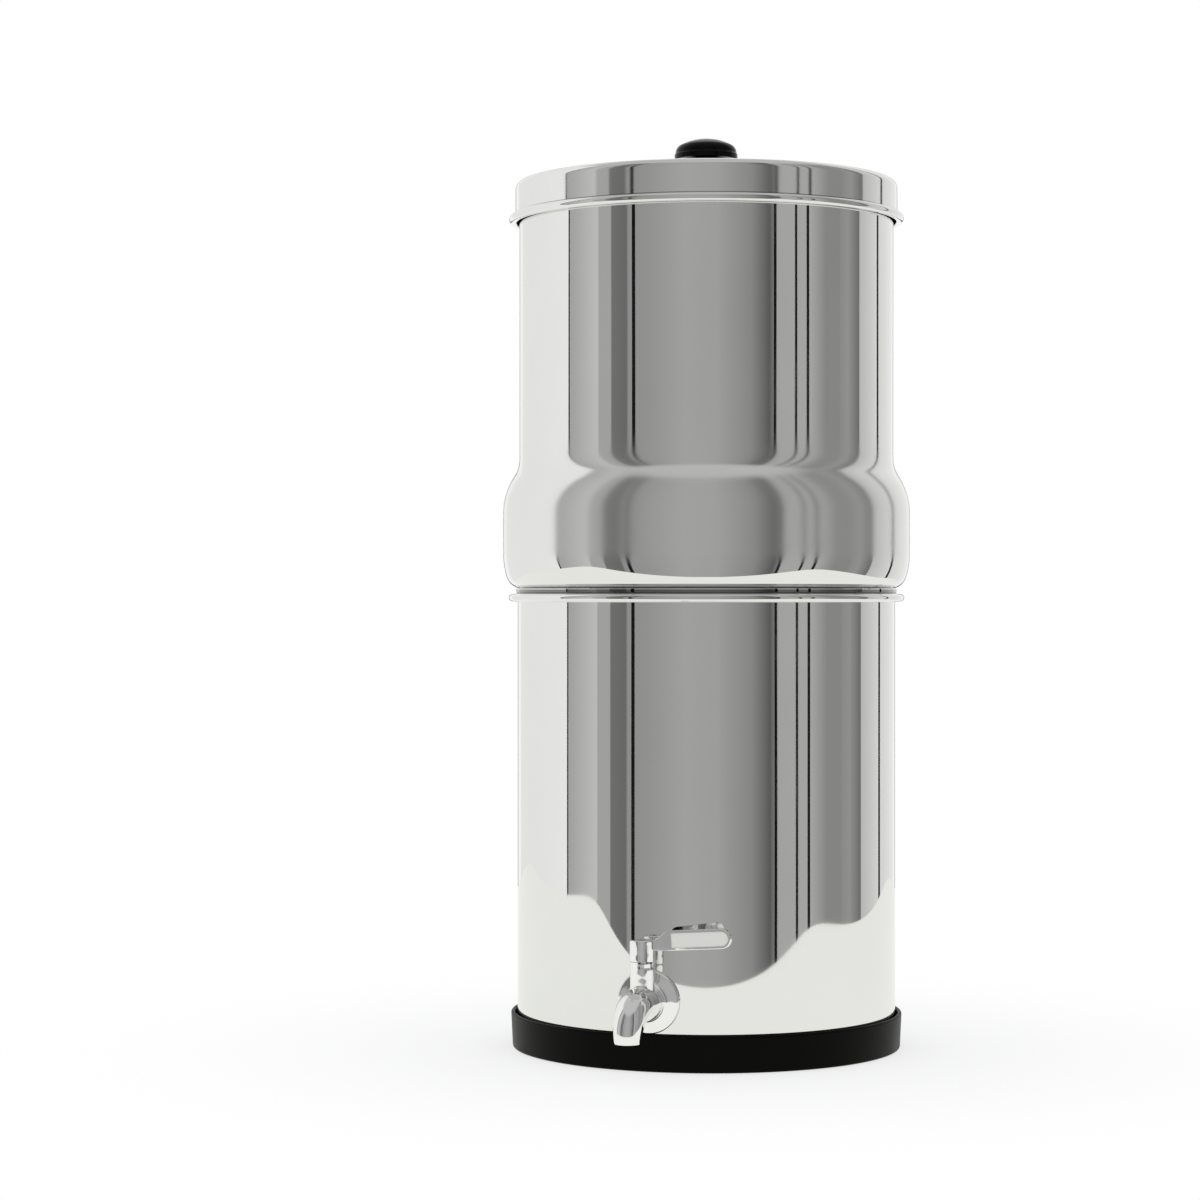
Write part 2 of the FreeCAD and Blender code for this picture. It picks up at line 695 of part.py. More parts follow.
def make_filter(letter, x):
    block = new_body(f"filter_block_{letter}")
    top = s.element_height
    turn(block, "Block", [
        (s.block_core, s.cap_floor),
        (s.block_radius, s.cap_floor),
        (s.block_radius, top - s.block_edge),
        (s.block_radius - s.block_edge, top),
        (0, top),
        (0, top - s.block_end),
        (s.block_core, top - s.block_end),
    ])
    cap = new_body(f"filter_cap_{letter}")
    inside = s.block_radius + s.cap_gap
    thread_end = -s.boss_height - s.stem_length
    shoulder = s.stem_radius - s.tip_radius
    turn(cap, "Cap", [
        (s.outlet_bore, thread_end - s.tip_length),
        (s.tip_end, thread_end - s.tip_length),
        (s.tip_radius, thread_end),
        (s.stem_radius, thread_end + shoulder),
        (s.stem_radius, -s.boss_height),
        (s.boss_radius, -s.boss_height),
        (s.boss_radius, 0),
        (s.cap_radius - s.cap_edge, 0, s.cap_edge),
        (s.cap_radius, s.cap_edge),
        (s.cap_radius, s.cap_height),
        (inside, s.cap_height),
        (inside, s.cap_floor),
        (s.outlet_bore, s.cap_floor),
    ])
    washer = new_body(f"filter_washer_{letter}")
    turn(washer, "Washer", [
        (s.stem_radius + s.stem_gap, -s.boss_height - s.filter_washer),
        (s.boss_radius, -s.boss_height - s.filter_washer),
        (s.boss_radius, -s.boss_height),
        (s.stem_radius + s.stem_gap, -s.boss_height),
    ])
    for piece in (block, cap, washer):
        move(piece, x=x, z=cap_level)


def make_wing_nut(letter, x):
    """A hub with two rounded wings, its origin at the face against the floor of the upper chamber."""
    body = new_body(f"wing_nut_{letter}")
    hub = circle(new_sketch(body, "XY_Plane", "HubOutline"), s.nut_hub)
    extrude(body, "Hub", hub, s.nut_height, backwards=True)
    half = s.wing_thickness / 2
    reach = s.wing_span / 2
    wings = outline(new_sketch(body, "XY_Plane", "WingsOutline"), [
        (half - reach, -half),
        (reach - half, -half, half),
        (reach, 0, half),
        (reach - half, half),
        (half - reach, half, half),
        (-reach, 0, half),
    ])
    extrude(body, "Wings", wings, s.wing_height, backwards=True)
    thread = circle(new_sketch(body, "XY_Plane", "ThreadOutline"), s.stem_radius + s.stem_gap)
    extrude(body, "Thread", thread, s.nut_height, "Pocket")
    move(body, x=x, z=s.spigot_bottom)


# Tap body: flange, barrel, stem housing and curved spout cast in one piece

def spout_stations():
    """Places along the spout: distance in front of the stem, drop, slope and outer radius."""
    bend = s.bend_radius
    quarter = (s.spout_radius + s.spout_half) / 2
    late = (s.spout_half + s.spout_end) / 2
    inside_wall = (s.cavity_half + s.barrel_front) / 2
    stations = [(inside_wall, size(0), size(0), s.spout_radius - s.flange_edge / 8)]
    for angle, radius in ((0, s.spout_radius), (22.5, quarter), (45, s.spout_half), (67.5, late),
                          (90, s.spout_end)):
        stations.append((s.bend_start + bend * sine(angle), bend * (1 - cosine(angle)), size(angle), radius))
    stations.append((s.bend_start + bend, s.spout_drop, size(90), s.outlet_radius))
    return stations


def loft_spout(body, name, radii, kind):
    """A loft through circles along the spout."""
    sketches = []
    for index, ((out, drop, slope, _), radius) in enumerate(zip(spout_stations(), radii)):
        offset = (0, -drop, out, Vector(1, 0, 0), slope)
        sketches.append(circle(new_sketch(body, "XZ_Plane", f"{name}Section{index + 1}", offset), radius))
    loft = body.newObject(f"PartDesign::{kind}", name)
    loft.Profile = sketches[0]
    loft.Sections = sketches[1:]
    return loft


def make_tap_body():
    body = tap_body_at_ball("tap_body")
    slope = s.flange_slope
    fillet_out = s.fillet_start + s.flange_fillet * cosine(slope)
    fillet_radius = s.barrel_radius + s.flange_fillet * (1 - sine(slope))
    face_radius = s.flange_radius - s.flange_round
    face_out = fillet_out + (face_radius - fillet_radius) * tangent(slope)
    turn(body, "FlangeAndBarrel", [
        (-s.barrel_front, 0),
        (flange_back, 0),
        (flange_back, s.flange_radius),
        (face_out + s.flange_round, s.flange_radius, s.flange_round),
        (face_out, face_radius),
        (fillet_out, fillet_radius, -s.flange_fillet),
        (s.fillet_start, s.barrel_radius),
        (-s.barrel_front, s.barrel_radius),
    ], role="YZ_Plane", axis="H_Axis")
    tower = circle(new_sketch(body, "XY_Plane", "StemHousingOutline"), s.tower_radius)
    extrude(body, "StemHousing", tower, s.tower_top)
    turn(body, "StopLug", [
        (s.lug_bore, s.tower_top - 1),
        (s.tower_radius, s.tower_top - 1),
        (s.tower_radius, s.lug_top),
        (s.lug_bore, s.lug_top),
    ], span=s.lug_span, middle=s.lug_middle)
    turn(body, "BallCavity", [
        (-s.cavity_half, 0),
        (flange_back + 1, 0),
        (flange_back + 1, s.shank_thread),
        (s.cavity_half, s.shank_thread),
        (s.cavity_half, s.cavity_radius),
        (-s.cavity_half, s.cavity_radius),
    ], kind="Groove", role="YZ_Plane", axis="H_Axis")
    turn(body, "StemBore", [
        (0, 0),
        (s.stem_pocket, 0),
        (s.stem_pocket, s.pocket_top),
        (s.spindle_hole, s.pocket_top),
        (s.spindle_hole, s.seal_bottom),
        (s.stem_pocket, s.seal_bottom),
        (s.stem_pocket, s.tower_top + 1),
        (0, s.tower_top + 1),
    ], kind="Groove")
    loft_spout(body, "Spout", [station[3] for station in spout_stations()], "AdditiveLoft")
    count = len(spout_stations())
    step = (s.passage_end - s.passage_start) / (count - 1)
    loft_spout(body, "Passage", [s.passage_start + step * place for place in range(count)], "SubtractiveLoft")


def make_tap_shank():
    body = tap_body_at_ball("tap_shank")
    end = s.shank_nose + s.shank_length
    turn(body, "Shank", [
        (s.shank_nose, s.shank_bore),
        (end, s.shank_bore),
        (end, s.shank_radius - s.shank_lead),
        (end - s.shank_lead, s.shank_radius),
        (s.shank_nose, s.shank_radius),
    ], role="YZ_Plane", axis="H_Axis")


def make_seat(label, side):
    """A seat ring behind the ball for side 1 and in front of it for side -1."""
    body = tap_body_at_ball(label)
    reach = s.ball_radius + s.seat_gap
    inner = root(reach * reach - s.seat_bore * s.seat_bore)
    outer = root(reach * reach - s.seat_front * s.seat_front)
    turn(body, "Seat", [
        (side * inner, s.seat_bore),
        (side * s.seat_back, s.seat_bore),
        (side * s.seat_back, s.seat_outer),
        (side * s.seat_front, s.seat_outer),
        (side * s.seat_front, outer, -side * reach),
    ], role="YZ_Plane", axis="H_Axis")


# Valve: ball, stem, seals and gland

def make_valve_ball():
    ball = primitive("Sphere", "BallSphere", Radius=s.ball_radius)
    bore = primitive("Cylinder", "BallBore", Radius=s.ball_bore, Height=4 * s.ball_radius)
    move(bore, x=-2 * s.ball_radius, rotation=ALONG_X)
    slot = primitive("Box", "BallSlot", Length=4 * s.ball_radius, Width=s.slot_width, Height=s.ball_radius)
    move(slot, x=-2 * s.ball_radius, y=-s.slot_width / 2, z=s.ball_radius - s.slot_depth)
    drilled = boolean("Cut", "DrilledBall", ball, bore)
    slotted = boolean("Cut", "SlottedBall", drilled, slot)
    move(slotted, y=-stem_y, z=s.tap_height)
    keep(slotted, "valve_ball")


def make_valve_stem():
    body = tap_body_at_ball("valve_stem")
    turn(body, "Spindle", [
        (0, s.collar_bottom),
        (s.collar_radius, s.collar_bottom),
        (s.collar_radius, s.collar_top),
        (s.spindle_radius, s.collar_top),
        (s.spindle_radius, s.spindle_top),
        (0, s.spindle_top),
    ])
    at_tongue = (0, 0, s.tongue_bottom, Vector(0, 0, 1), 0)
    tongue = rectangle(new_sketch(body, "XY_Plane", "TongueOutline", at_tongue), s.tongue_width, s.tongue)
    extrude(body, "Tongue", tongue, s.collar_bottom - s.tongue_bottom)
    at_square = (0, 0, s.spindle_top, Vector(0, 0, 1), 0)
    square = rectangle(new_sketch(body, "XY_Plane", "SquareOutline", at_square), s.square, s.square)
    extrude(body, "Square", square, s.square_top - s.spindle_top)
    hole = s.lever_screw + s.stem_gap
    turn(body, "ScrewHole", [
        (0, s.lever_screw_bottom - 1),
        (hole, s.lever_screw_bottom - 1),
        (hole, s.square_top + 1),
        (0, s.square_top + 1),
    ], kind="Groove")


def make_thrust_washer():
    body = tap_body_at_ball("stem_thrust_washer")
    turn(body, "Washer", [
        (s.spindle_hole, s.collar_top),
        (s.collar_radius, s.collar_top),
        (s.collar_radius, s.collar_top + s.thrust_washer),
        (s.spindle_hole, s.collar_top + s.thrust_washer),
    ])


def make_stem_seals():
    rings = []
    for name, level in (("LowerSealRing", s.ring_low), ("UpperSealRing", s.ring_high)):
        ring = primitive("Torus", name, Radius1=s.ring_middle, Radius2=s.ring_section)
        move(ring, z=level)
        rings.append(ring)
    pair = doc.addObject("Part::Compound", "StemSealRings")
    pair.Links = rings
    move(pair, y=-stem_y, z=s.tap_height)
    keep(pair, "stem_seal_rings")


def make_gland_nut():
    head = primitive("Prism", "GlandHexagon", Circumradius=s.gland_head, Height=s.gland_head_height)
    head.Polygon = 6
    move(head, z=s.tower_top)
    thread = primitive("Cylinder", "GlandThread", Radius=s.gland_radius, Height=s.tower_top - s.gland_bottom)
    move(thread, z=s.gland_bottom)
    bore = primitive("Cylinder", "GlandBore", Radius=s.spindle_hole, Height=s.lug_top)
    solid = boolean("Fuse", "GlandSolid", head, thread)
    gland = boolean("Cut", "GlandNut", solid, bore)
    move(gland, y=-stem_y, z=s.tap_height)
    keep(gland, "stem_gland_nut")


# Lever: hub with a stop skirt, square socket and a flat paddle with a sunk field

def make_tap_lever():
    body = tap_body_at_ball("tap_lever")
    turn(body, "Hub", [
        (0, s.hub_bottom),
        (s.hub_radius, s.hub_bottom),
        (s.hub_radius, s.hub_top - s.hub_edge, s.hub_edge),
        (s.hub_radius - s.hub_edge, s.hub_top),
        (0, s.hub_top),
    ])
    turn(body, "StopSkirt", [
        (s.skirt_bore, s.skirt_bottom),
        (s.hub_radius, s.skirt_bottom),
        (s.hub_radius, s.hub_bottom + 1),
        (s.skirt_bore, s.hub_bottom + 1),
    ], span=s.skirt_span, middle=s.skirt_middle)
    half = s.lever_half
    tilted = (0, s.lever_axis, 0, Vector(0, 0, 1), s.lever_tilt)
    arm = outline(new_sketch(body, "XZ_Plane", "ArmOutline", tilted), [
        (s.lever_root, s.root_low),
        (s.neck_low, -half),
        (s.lever_reach - half, -half, half),
        (s.lever_reach, 0, half),
        (s.lever_reach - half, half),
        (s.neck_end, half, s.neck_blend),
        (s.neck_rise, s.neck_rise_height),
        (s.neck_side, s.root_high),
        (s.lever_root, s.root_high),
    ])
    extrude(body, "Arm", arm, s.lever_thickness, both_ways=True)
    inset = half - s.field_inset
    end = s.lever_reach - half
    on_face = (0, s.lever_axis, s.lever_thickness / 2, Vector(0, 0, 1), s.lever_tilt)
    field = outline(new_sketch(body, "XZ_Plane", "FieldOutline", on_face), [
        (s.field_start, -inset),
        (end, -inset, inset),
        (end + inset, 0, inset),
        (end, inset),
        (s.field_start, inset),
    ])
    extrude(body, "SunkField", field, s.field_depth, "Pocket")
    at_skirt = (0, 0, s.hub_bottom - 1, Vector(0, 0, 1), 0)
    width = s.square + s.square_gap
    socket = rectangle(new_sketch(body, "XY_Plane", "SocketOutline", at_skirt), width, width)
    extrude(body, "SquareSocket", socket, s.square_top - s.hub_bottom + 1.3, "Pocket", backwards=True)
    hole = s.lever_screw + s.square_gap
    sink = s.lever_screw_head + s.square_gap
    level = s.hub_top - s.hub_edge / 2
    turn(body, "Countersink", [
        (0, s.square_top - 1),
        (hole, s.square_top - 1),
        (hole, level - sink + hole),
        (sink, level),
        (sink, s.hub_top + 1),
        (0, s.hub_top + 1),
    ], kind="Groove")


def make_lever_screw():
    body = tap_body_at_ball("lever_screw")
    top = s.hub_top - s.hub_edge / 4
    level = s.hub_top - s.hub_edge / 2
    turn(body, "Screw", [
        (0, s.lever_screw_bottom),
        (s.lever_screw, s.lever_screw_bottom),
        (s.lever_screw, level - s.lever_screw_head + s.lever_screw),
        (s.lever_screw_head, level),
        (s.lever_screw_head, top),
        (0, top),
    ])


# Tap fixing: gaskets shaped to the round wall, and the lock nut

def make_gasket(label, kind, wall, start, thickness):
    """A round gasket along Y, cut to the wall of the chamber."""
    disc = primitive("Cylinder", f"{label}Disc", Radius=s.gasket_radius, Height=thickness)
    move(disc, y=start, z=s.tap_height, rotation=ALONG_Y)
    can = primitive("Cylinder", f"{label}Wall", Radius=wall, Height=2 * s.tap_height)
    bore = primitive("Cylinder", f"{label}Bore", Radius=s.gasket_bore, Height=thickness)
    move(bore, y=start, z=s.tap_height, rotation=ALONG_Y)
    shaped = boolean(kind, f"{label}Shaped", disc, can)
    keep(boolean("Cut", f"{label}Ring", shaped, bore), label)


def make_lock_nut(start):
    nut = primitive("Prism", "LockNutHexagon", Circumradius=s.lock_nut, Height=s.lock_nut_height)
    nut.Polygon = 6
    crown = primitive("Sphere", "LockNutCrown", Radius=s.lock_nut_crown)
    crown.Placement = Placement(Vector(0, 0, 0), Rotation())
    bore = primitive("Cylinder", "LockNutThread", Radius=s.lock_nut_bore, Height=s.lock_nut_height)
    rounded = boolean("Common", "LockNutRounded", nut, crown)
    finished = boolean("Cut", "LockNut", rounded, bore)
    move(finished, y=start, z=s.tap_height, rotation=ALONG_Y)
    keep(finished, "tap_lock_nut")


make_lower_chamber()
make_base_ring()
make_upper_chamber()
make_lid()
make_lid_knob()
make_knob_washer()
make_knob_screw()
for filter_letter, filter_x in (("a", -s.filter_offset), ("b", s.filter_offset)):
    make_filter(filter_letter, filter_x)
    make_wing_nut(filter_letter, filter_x)
make_tap_body()
make_tap_shank()
make_seat("ball_seat_inner", 1)
make_seat("ball_seat_outer", -1)
make_valve_ball()
make_valve_stem()
make_thrust_washer()
make_stem_seals()
make_gland_nut()
make_tap_lever()
make_lever_screw()
gasket_start = -(s.shell_radius + s.flange_gap)
make_gasket("tap_outer_gasket", "Cut", s.shell_radius, gasket_start, 4 * s.flange_gap)
make_gasket("tap_inner_gasket", "Common", shell_inside, -s.shell_radius, s.gasket_inside + s.sheet)
make_lock_nut(s.gasket_inside - shell_inside)

doc.recompute()

# Nothing is written unless every object is sound
for thing in doc.Objects:
    faults = [state for state in thing.State if state in ("Invalid", "Error")]
    if faults:
        raise RuntimeError(f"{thing.Label} did not compute: {faults}")
for node in nodes:
    shape = node.Shape
    if shape.isNull() or not shape.isValid() or not shape.Solids:
        raise RuntimeError(f"{node.Label} has no sound solid")

os.makedirs("parts", exist_ok=True)
for node in nodes:
    shape = node.Shape
    shape.exportStep(f"parts/{node.Label}.step")
    box = shape.BoundBox
    print(f"{node.Label}: {len(shape.Solids)} solid, {shape.Volume / 1000:.2f} cm3, "
          f"x {box.XMin:.2f} to {box.XMax:.2f}, y {box.YMin:.2f} to {box.YMax:.2f}, "
          f"z {box.ZMin:.2f} to {box.ZMax:.2f}")
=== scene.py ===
"""Looks for a gravity water filter: polished steel chambers and lid, black rubber base, plated ball tap."""

import math

import bmesh
import bpy
from mathutils import Matrix, Vector


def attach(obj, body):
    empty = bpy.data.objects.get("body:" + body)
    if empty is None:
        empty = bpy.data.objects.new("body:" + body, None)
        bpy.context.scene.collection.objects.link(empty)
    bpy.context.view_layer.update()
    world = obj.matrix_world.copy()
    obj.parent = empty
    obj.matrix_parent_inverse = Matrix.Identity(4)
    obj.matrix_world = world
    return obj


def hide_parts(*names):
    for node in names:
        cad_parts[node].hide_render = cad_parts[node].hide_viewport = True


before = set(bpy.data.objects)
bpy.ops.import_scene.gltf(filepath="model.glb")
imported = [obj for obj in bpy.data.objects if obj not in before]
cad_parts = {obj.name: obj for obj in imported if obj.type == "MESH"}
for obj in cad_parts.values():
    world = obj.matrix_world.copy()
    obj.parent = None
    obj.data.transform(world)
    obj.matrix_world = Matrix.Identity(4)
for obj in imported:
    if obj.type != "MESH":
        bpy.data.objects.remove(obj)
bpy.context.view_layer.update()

MM = 0.001
AROUND = 288          # facets round a chamber
SMALL_AROUND = 96     # facets round a small turned piece
ARC_STEP = 5.0        # degrees between points on a profile's arc

# Driving sizes, in millimetres, as the CAD model has them
SHEET = 0.8
SHELL = 113.7
TAP_HOLE = 8.2
FLOOR = 4.0
CORNER = 5.0
RIM_TOP = 272.2
RIM_HEIGHT = 5.1
RIM_RADIUS = 119.2
SPIGOT = 112.2
SPIGOT_BOTTOM = 250.0
NECK = 114.5
NECK_LOW = 273.15
NECK_TOP = 275.0
NECK_ROUND = 1.4
BELLY_FOOT = 115.2
BELLY = 122.5
BELLY_SLOPE = 60.0
BELLY_TURN = 18.3
BELLY_ROUND = 46.0
BELLY_HIGH = 320.0
SHOULDER_ANGLE = 33.0
SHOULDER_ROUND = 42.0
WALL = 112.6
HEM_TOP = 517.2
HEM_HEIGHT = 4.3
HEM_WIDTH = 1.8
FILTER_X = 52.0
FILTER_HOLE = 7.2
LID_RADIUS = 115.0
LID_TOP = 519.6
LID_CORNER = 4.5
BEAD_RADIUS = 118.75
BEAD_TOP = 499.75
BEAD_HEIGHT = 5.1
BEAD_LIP = 1.0
LID_HOLE = 2.7
RING_TOP = 21.3
RING_FOOT = 116.6
RING_LIP = 117.5
RING_LIP_THICK = 2.5
RING_EDGE = 1.2
RING_BORE = 114.0
RING_LEDGE = 100.0
TAP_Z = 39.8
STEM_Y = -126.1
TOWER = 6.9           # outside of the stem's housing
HUB = 7.1             # outside of the lever's hub
STEM_POCKET = 4.6
SPINDLE_HOLE = 3.2
SCREW_SHANK = 1.65    # its hole in the lever
SINK_LOW = 34.55      # narrow end of the countersink
SINK_HIGH = 36.1      # wide end of the countersink


# Shader nodes

class Value:
    """A number that changes over a surface, so that shader maths can be written as Python."""

    def __init__(self, tree, socket):
        self.tree = tree
        self.socket = socket

    def maths(self, operation, *others):
        values = {index + 1: other for index, other in enumerate(others)}
        values[0] = self
        return self.tree.node("ShaderNodeMath", {"operation": operation}, values)

    def __add__(self, other):
        return self.maths("ADD", other)

    def __mul__(self, other):
        return self.maths("MULTIPLY", other)

    def __sub__(self, other):
        return self.maths("SUBTRACT", other)

    def __rsub__(self, other):
        return self * -1 + other

    def __truediv__(self, other):
        return self.maths("DIVIDE", other)

    def step(self, low, high):
        """0 below low, 1 above high, smooth between."""
        settings = {"interpolation_type": "SMOOTHSTEP"}
        return self.tree.node("ShaderNodeMapRange", settings, {0: self, 1: low, 2: high})


class Tree:
    """A node tree and the one method that adds a node to it."""

    def __init__(self, owner):
        owner.use_nodes = True
        self.nodes = owner.node_tree.nodes
        self.links = owner.node_tree.links
        self.nodes.clear()

    def node(self, kind, settings=None, values=None, output=0):
        made = self.nodes.new(kind)
        for name, setting in (settings or {}).items():
            if name == "stops":
                self.fill_ramp(made.color_ramp, setting)
            else:
                setattr(made, name, setting)
        for name, value in (values or {}).items():
            if isinstance(value, Value):
                self.links.new(value.socket, made.inputs[name])
            else:
                made.inputs[name].default_value = value
        return Value(self, made.outputs[output]) if made.outputs else made

    @staticmethod
    def fill_ramp(ramp, stops):
        while len(ramp.elements) < len(stops):
            ramp.elements.new(1.0)
        for element, (place, colour) in zip(ramp.elements, stops):
            element.position = place
            element.color = grey(colour) if isinstance(colour, (int, float)) else (*colour, 1)


def grey(level):
    return (level, level, level, 1)


class Finish(Tree):
    """A material with one principled shader."""

    def __init__(self, name, colour, **sockets):
        self.material = bpy.data.materials.new(name)
        super().__init__(self.material)
        self.shader = self.nodes.new("ShaderNodeBsdfPrincipled")
        self.shader.inputs["Base Color"].default_value = (*colour, 1)
        for socket, value in sockets.items():
            self.shader.inputs[socket.replace("_", " ")].default_value = value
        output = self.nodes.new("ShaderNodeOutputMaterial")
        self.links.new(self.shader.outputs[0], output.inputs[0])

    def feed(self, socket, value):
        self.links.new(value.socket, self.shader.inputs[socket])

    def place(self, scale):
        """Object coordinates, stretched."""
        here = self.node("ShaderNodeTexCoord", output="Object")
        return self.node("ShaderNodeMapping", None, {"Vector": here, "Scale": scale})

    def height(self):
        """Metres above the floor in the rest pose."""
        here = self.node("ShaderNodeTexCoord", output="Object")
        return self.node("ShaderNodeSeparateXYZ", None, {0: here}, output="Z")

    def inner_side(self, level):
        """1 on the walls that face the axis and on the chambers' floors."""
        facing = self.node("ShaderNodeNewGeometry", output="Normal")
        outwards = self.place((1, 1, 0))
        values = {0: facing, 1: outwards}
        away = self.node("ShaderNodeVectorMath", {"operation": "DOT_PRODUCT"}, values, output="Value")
        up = self.node("ShaderNodeSeparateXYZ", None, {0: facing}, output="Z")
        wall = (away * -1).step(0.02, 0.04)
        floor = up.step(0.6, 0.8) * (1 - level.step(0.258, 0.262))
        return wall.maths("MAXIMUM", floor)

    def noise(self, scale, detail=3, stretch=(1, 1, 1)):
        values = {"Vector": self.place(stretch), "Scale": scale, "Detail": detail}
        return self.node("ShaderNodeTexNoise", None, values)

    def shades(self, factor, first, second):
        """A colour between two by a factor."""
        values = {0: factor, 6: (*first, 1), 7: (*second, 1)}
        return self.node("ShaderNodeMix", {"data_type": "RGBA"}, values, output=2)

    def blend(self, factor, first, second):
        """Another colour laid over one that varies."""
        values = {0: factor, 6: first, 7: (*second, 1)}
        return self.node("ShaderNodeMix", {"data_type": "RGBA"}, values, output=2)

    def relief(self, height, strength, distance):
        values = {"Height": height, "Strength": strength, "Distance": distance}
        self.feed("Normal", self.node("ShaderNodeBump", None, values))


def make_polished_steel(name, is_lid=False):
    """Drawn stainless sheet: outside a mirror with faint haze, wipe marks and the slow waves of thin sheet,
    softer where it was pressed, with painted shade darkening its creases. The chambers are satin inside."""
    finish = Finish(name, (0.83, 0.83, 0.82), Metallic=1, Roughness=0.04)
    haze = finish.noise(14, 4)
    wipes = finish.noise(30, 3, (1, 1, 0.06))
    level = finish.height()
    if is_lid:
        soft = 0.05
        # painted shade: a dark line in the crease on top of the rolled bead
        painted_crease_shade = (level.step(0.4995, 0.4998) - level.step(0.5001, 0.5006)) * 0.7
    else:
        # pressed softer on the lower belly; painted shade darkens the crease between the rim and the neck
        soft = (level.step(0.286, 0.298) - level.step(0.335, 0.372)) * 0.14
        painted_crease_shade = (level.step(0.2720, 0.2726) - level.step(0.2742, 0.2750)) * 0.8
    roughness = haze.step(0.45, 0.75) * 0.03 + wipes.step(0.5, 0.8) * 0.02 + soft + 0.02
    clean = finish.shades(haze, (0.80, 0.80, 0.785), (0.85, 0.85, 0.845))
    # painted shade: the crease mask blends the colour towards near black
    colour = finish.blend(painted_crease_shade, clean, (0.06, 0.06, 0.06))
    if not is_lid:
        inside = finish.inner_side(level)
        roughness = roughness + inside * 0.34
        colour = finish.blend(inside, colour, (0.58, 0.58, 0.57))
        finish.feed("Metallic", 1 - inside * 0.45)
    finish.feed("Roughness", roughness)
    finish.feed("Base Color", colour)
    finish.relief(finish.noise(11, 1, (1, 1, 0.35)), 0.22, 0.0006)
    return finish.material


def make_plated_tap():
    """Polished plated casting."""
    finish = Finish("plated_tap", (0.90, 0.90, 0.895), Metallic=1, Roughness=0.08)
    pits = finish.noise(160, 3)
    finish.feed("Roughness", pits.step(0.4, 0.8) * 0.06 + 0.06)
    finish.relief(finish.noise(75, 2), 0.5, 0.0006)
    return finish.material


def make_satin_field():
    """The lever's sunk field, blasted to an even satin."""
    finish = Finish("satin_field", (0.74, 0.74, 0.72), Metallic=0.2, Roughness=0.34)
    grain = finish.noise(1800, 2)
    finish.feed("Roughness", grain * 0.12 + 0.28)
    finish.relief(grain, 0.12, 0.0001)
    return finish.material


def make_plain_steel():
    """Turned and rolled small parts."""
    finish = Finish("plain_steel", (0.62, 0.62, 0.61), Metallic=1, Roughness=0.28)
    rings = finish.noise(700, 2, (1, 1, 4))
    finish.feed("Roughness", rings * 0.16 + 0.2)
    finish.relief(rings, 0.1, 0.0001)
    return finish.material


def make_black_rubber():
    """The base ring: smooth moulded rubber with a low sheen and a trace of dust."""
    finish = Finish("black_rubber", (0.002, 0.002, 0.002), Roughness=0.42, Specular_IOR_Level=0.05)
    dust = finish.noise(420, 4).step(0.62, 0.86)
    finish.feed("Base Color", finish.shades(dust, (0.0016, 0.0016, 0.0014), (0.004, 0.004, 0.004)))
    finish.feed("Roughness", finish.noise(60, 3) * 0.14 + 0.32)
    finish.relief(finish.noise(1500, 2), 0.12, 0.0001)
    return finish.material


def make_gasket_rubber():
    finish = Finish("gasket_rubber", (0.02, 0.02, 0.02), Roughness=0.7)
    grain = finish.noise(900, 3)
    finish.feed("Roughness", grain * 0.2 + 0.6)
    finish.relief(grain, 0.25, 0.0001)
    return finish.material


def make_black_plastic():
    """Filter caps and wing nuts: fine spark-eroded moulding."""
    finish = Finish("black_plastic", (0.018, 0.018, 0.019), Roughness=0.45)
    grain = finish.noise(2200, 2)
    finish.feed("Roughness", grain * 0.2 + 0.36)
    finish.relief(grain, 0.35, 0.0001)
    return finish.material


def make_knob_black():
    finish = Finish("knob_black", (0.0018, 0.0018, 0.0018), Roughness=0.16, Specular_IOR_Level=0.1)
    finish.feed("Roughness", finish.noise(90, 3).step(0.45, 0.8) * 0.14 + 0.13)
    finish.relief(finish.noise(160, 2), 0.06, 0.0002)
    return finish.material


def make_carbon():
    """Pressed carbon: matte, grainy, with a few paler specks."""
    finish = Finish("carbon", (0.02, 0.02, 0.021), Roughness=0.85)
    grain = finish.noise(650, 5)
    specks = finish.noise(1600, 2).step(0.68, 0.76)
    finish.feed("Base Color", finish.shades(specks, (0.018, 0.018, 0.019), (0.06, 0.06, 0.062)))
    finish.feed("Roughness", grain * 0.25 + 0.7)
    finish.relief(grain, 0.7, 0.0003)
    return finish.material


def make_white_seat():
    finish = Finish("white_seat", (0.84, 0.84, 0.82), Roughness=0.4)
    finish.feed("Roughness", finish.noise(300, 2) * 0.15 + 0.33)
    return finish.material


STEEL = make_polished_steel("polished_steel")
LID_STEEL = make_polished_steel("lid_steel", is_lid=True)
PLATED = make_plated_tap()
SATIN = make_satin_field()
PLAIN_STEEL = make_plain_steel()
RUBBER = make_black_rubber()
GASKET = make_gasket_rubber()
PLASTIC = make_black_plastic()
KNOB = make_knob_black()
CARBON = make_carbon()
SEAT = make_white_seat()


# Turned profiles: corners in millimetres, with an arc's radius where one leads to the next corner

def arc(start, end, radius):
    """Points from start up to but not with end. A positive radius turns left, a negative one right."""
    (x0, y0), (x1, y1) = start, end
    chord = math.hypot(x1 - x0, y1 - y0)
    rise = math.sqrt(max(radius * radius - chord * chord / 4, 0.0))
    side = math.copysign(rise, radius) / chord
    cx = (x0 + x1) / 2 - (y1 - y0) * side
    cy = (y0 + y1) / 2 + (x1 - x0) * side
    first = math.atan2(y0 - cy, x0 - cx)
    sweep = math.copysign(2 * math.asin(min(1.0, chord / 2 / abs(radius))), radius)
    count = max(3, math.ceil(math.degrees(abs(sweep)) / ARC_STEP))
    points = []
    for index in range(count):
        angle = first + sweep * index / count
        points.append((cx + abs(radius) * math.cos(angle), cy + abs(radius) * math.sin(angle)))
    return points


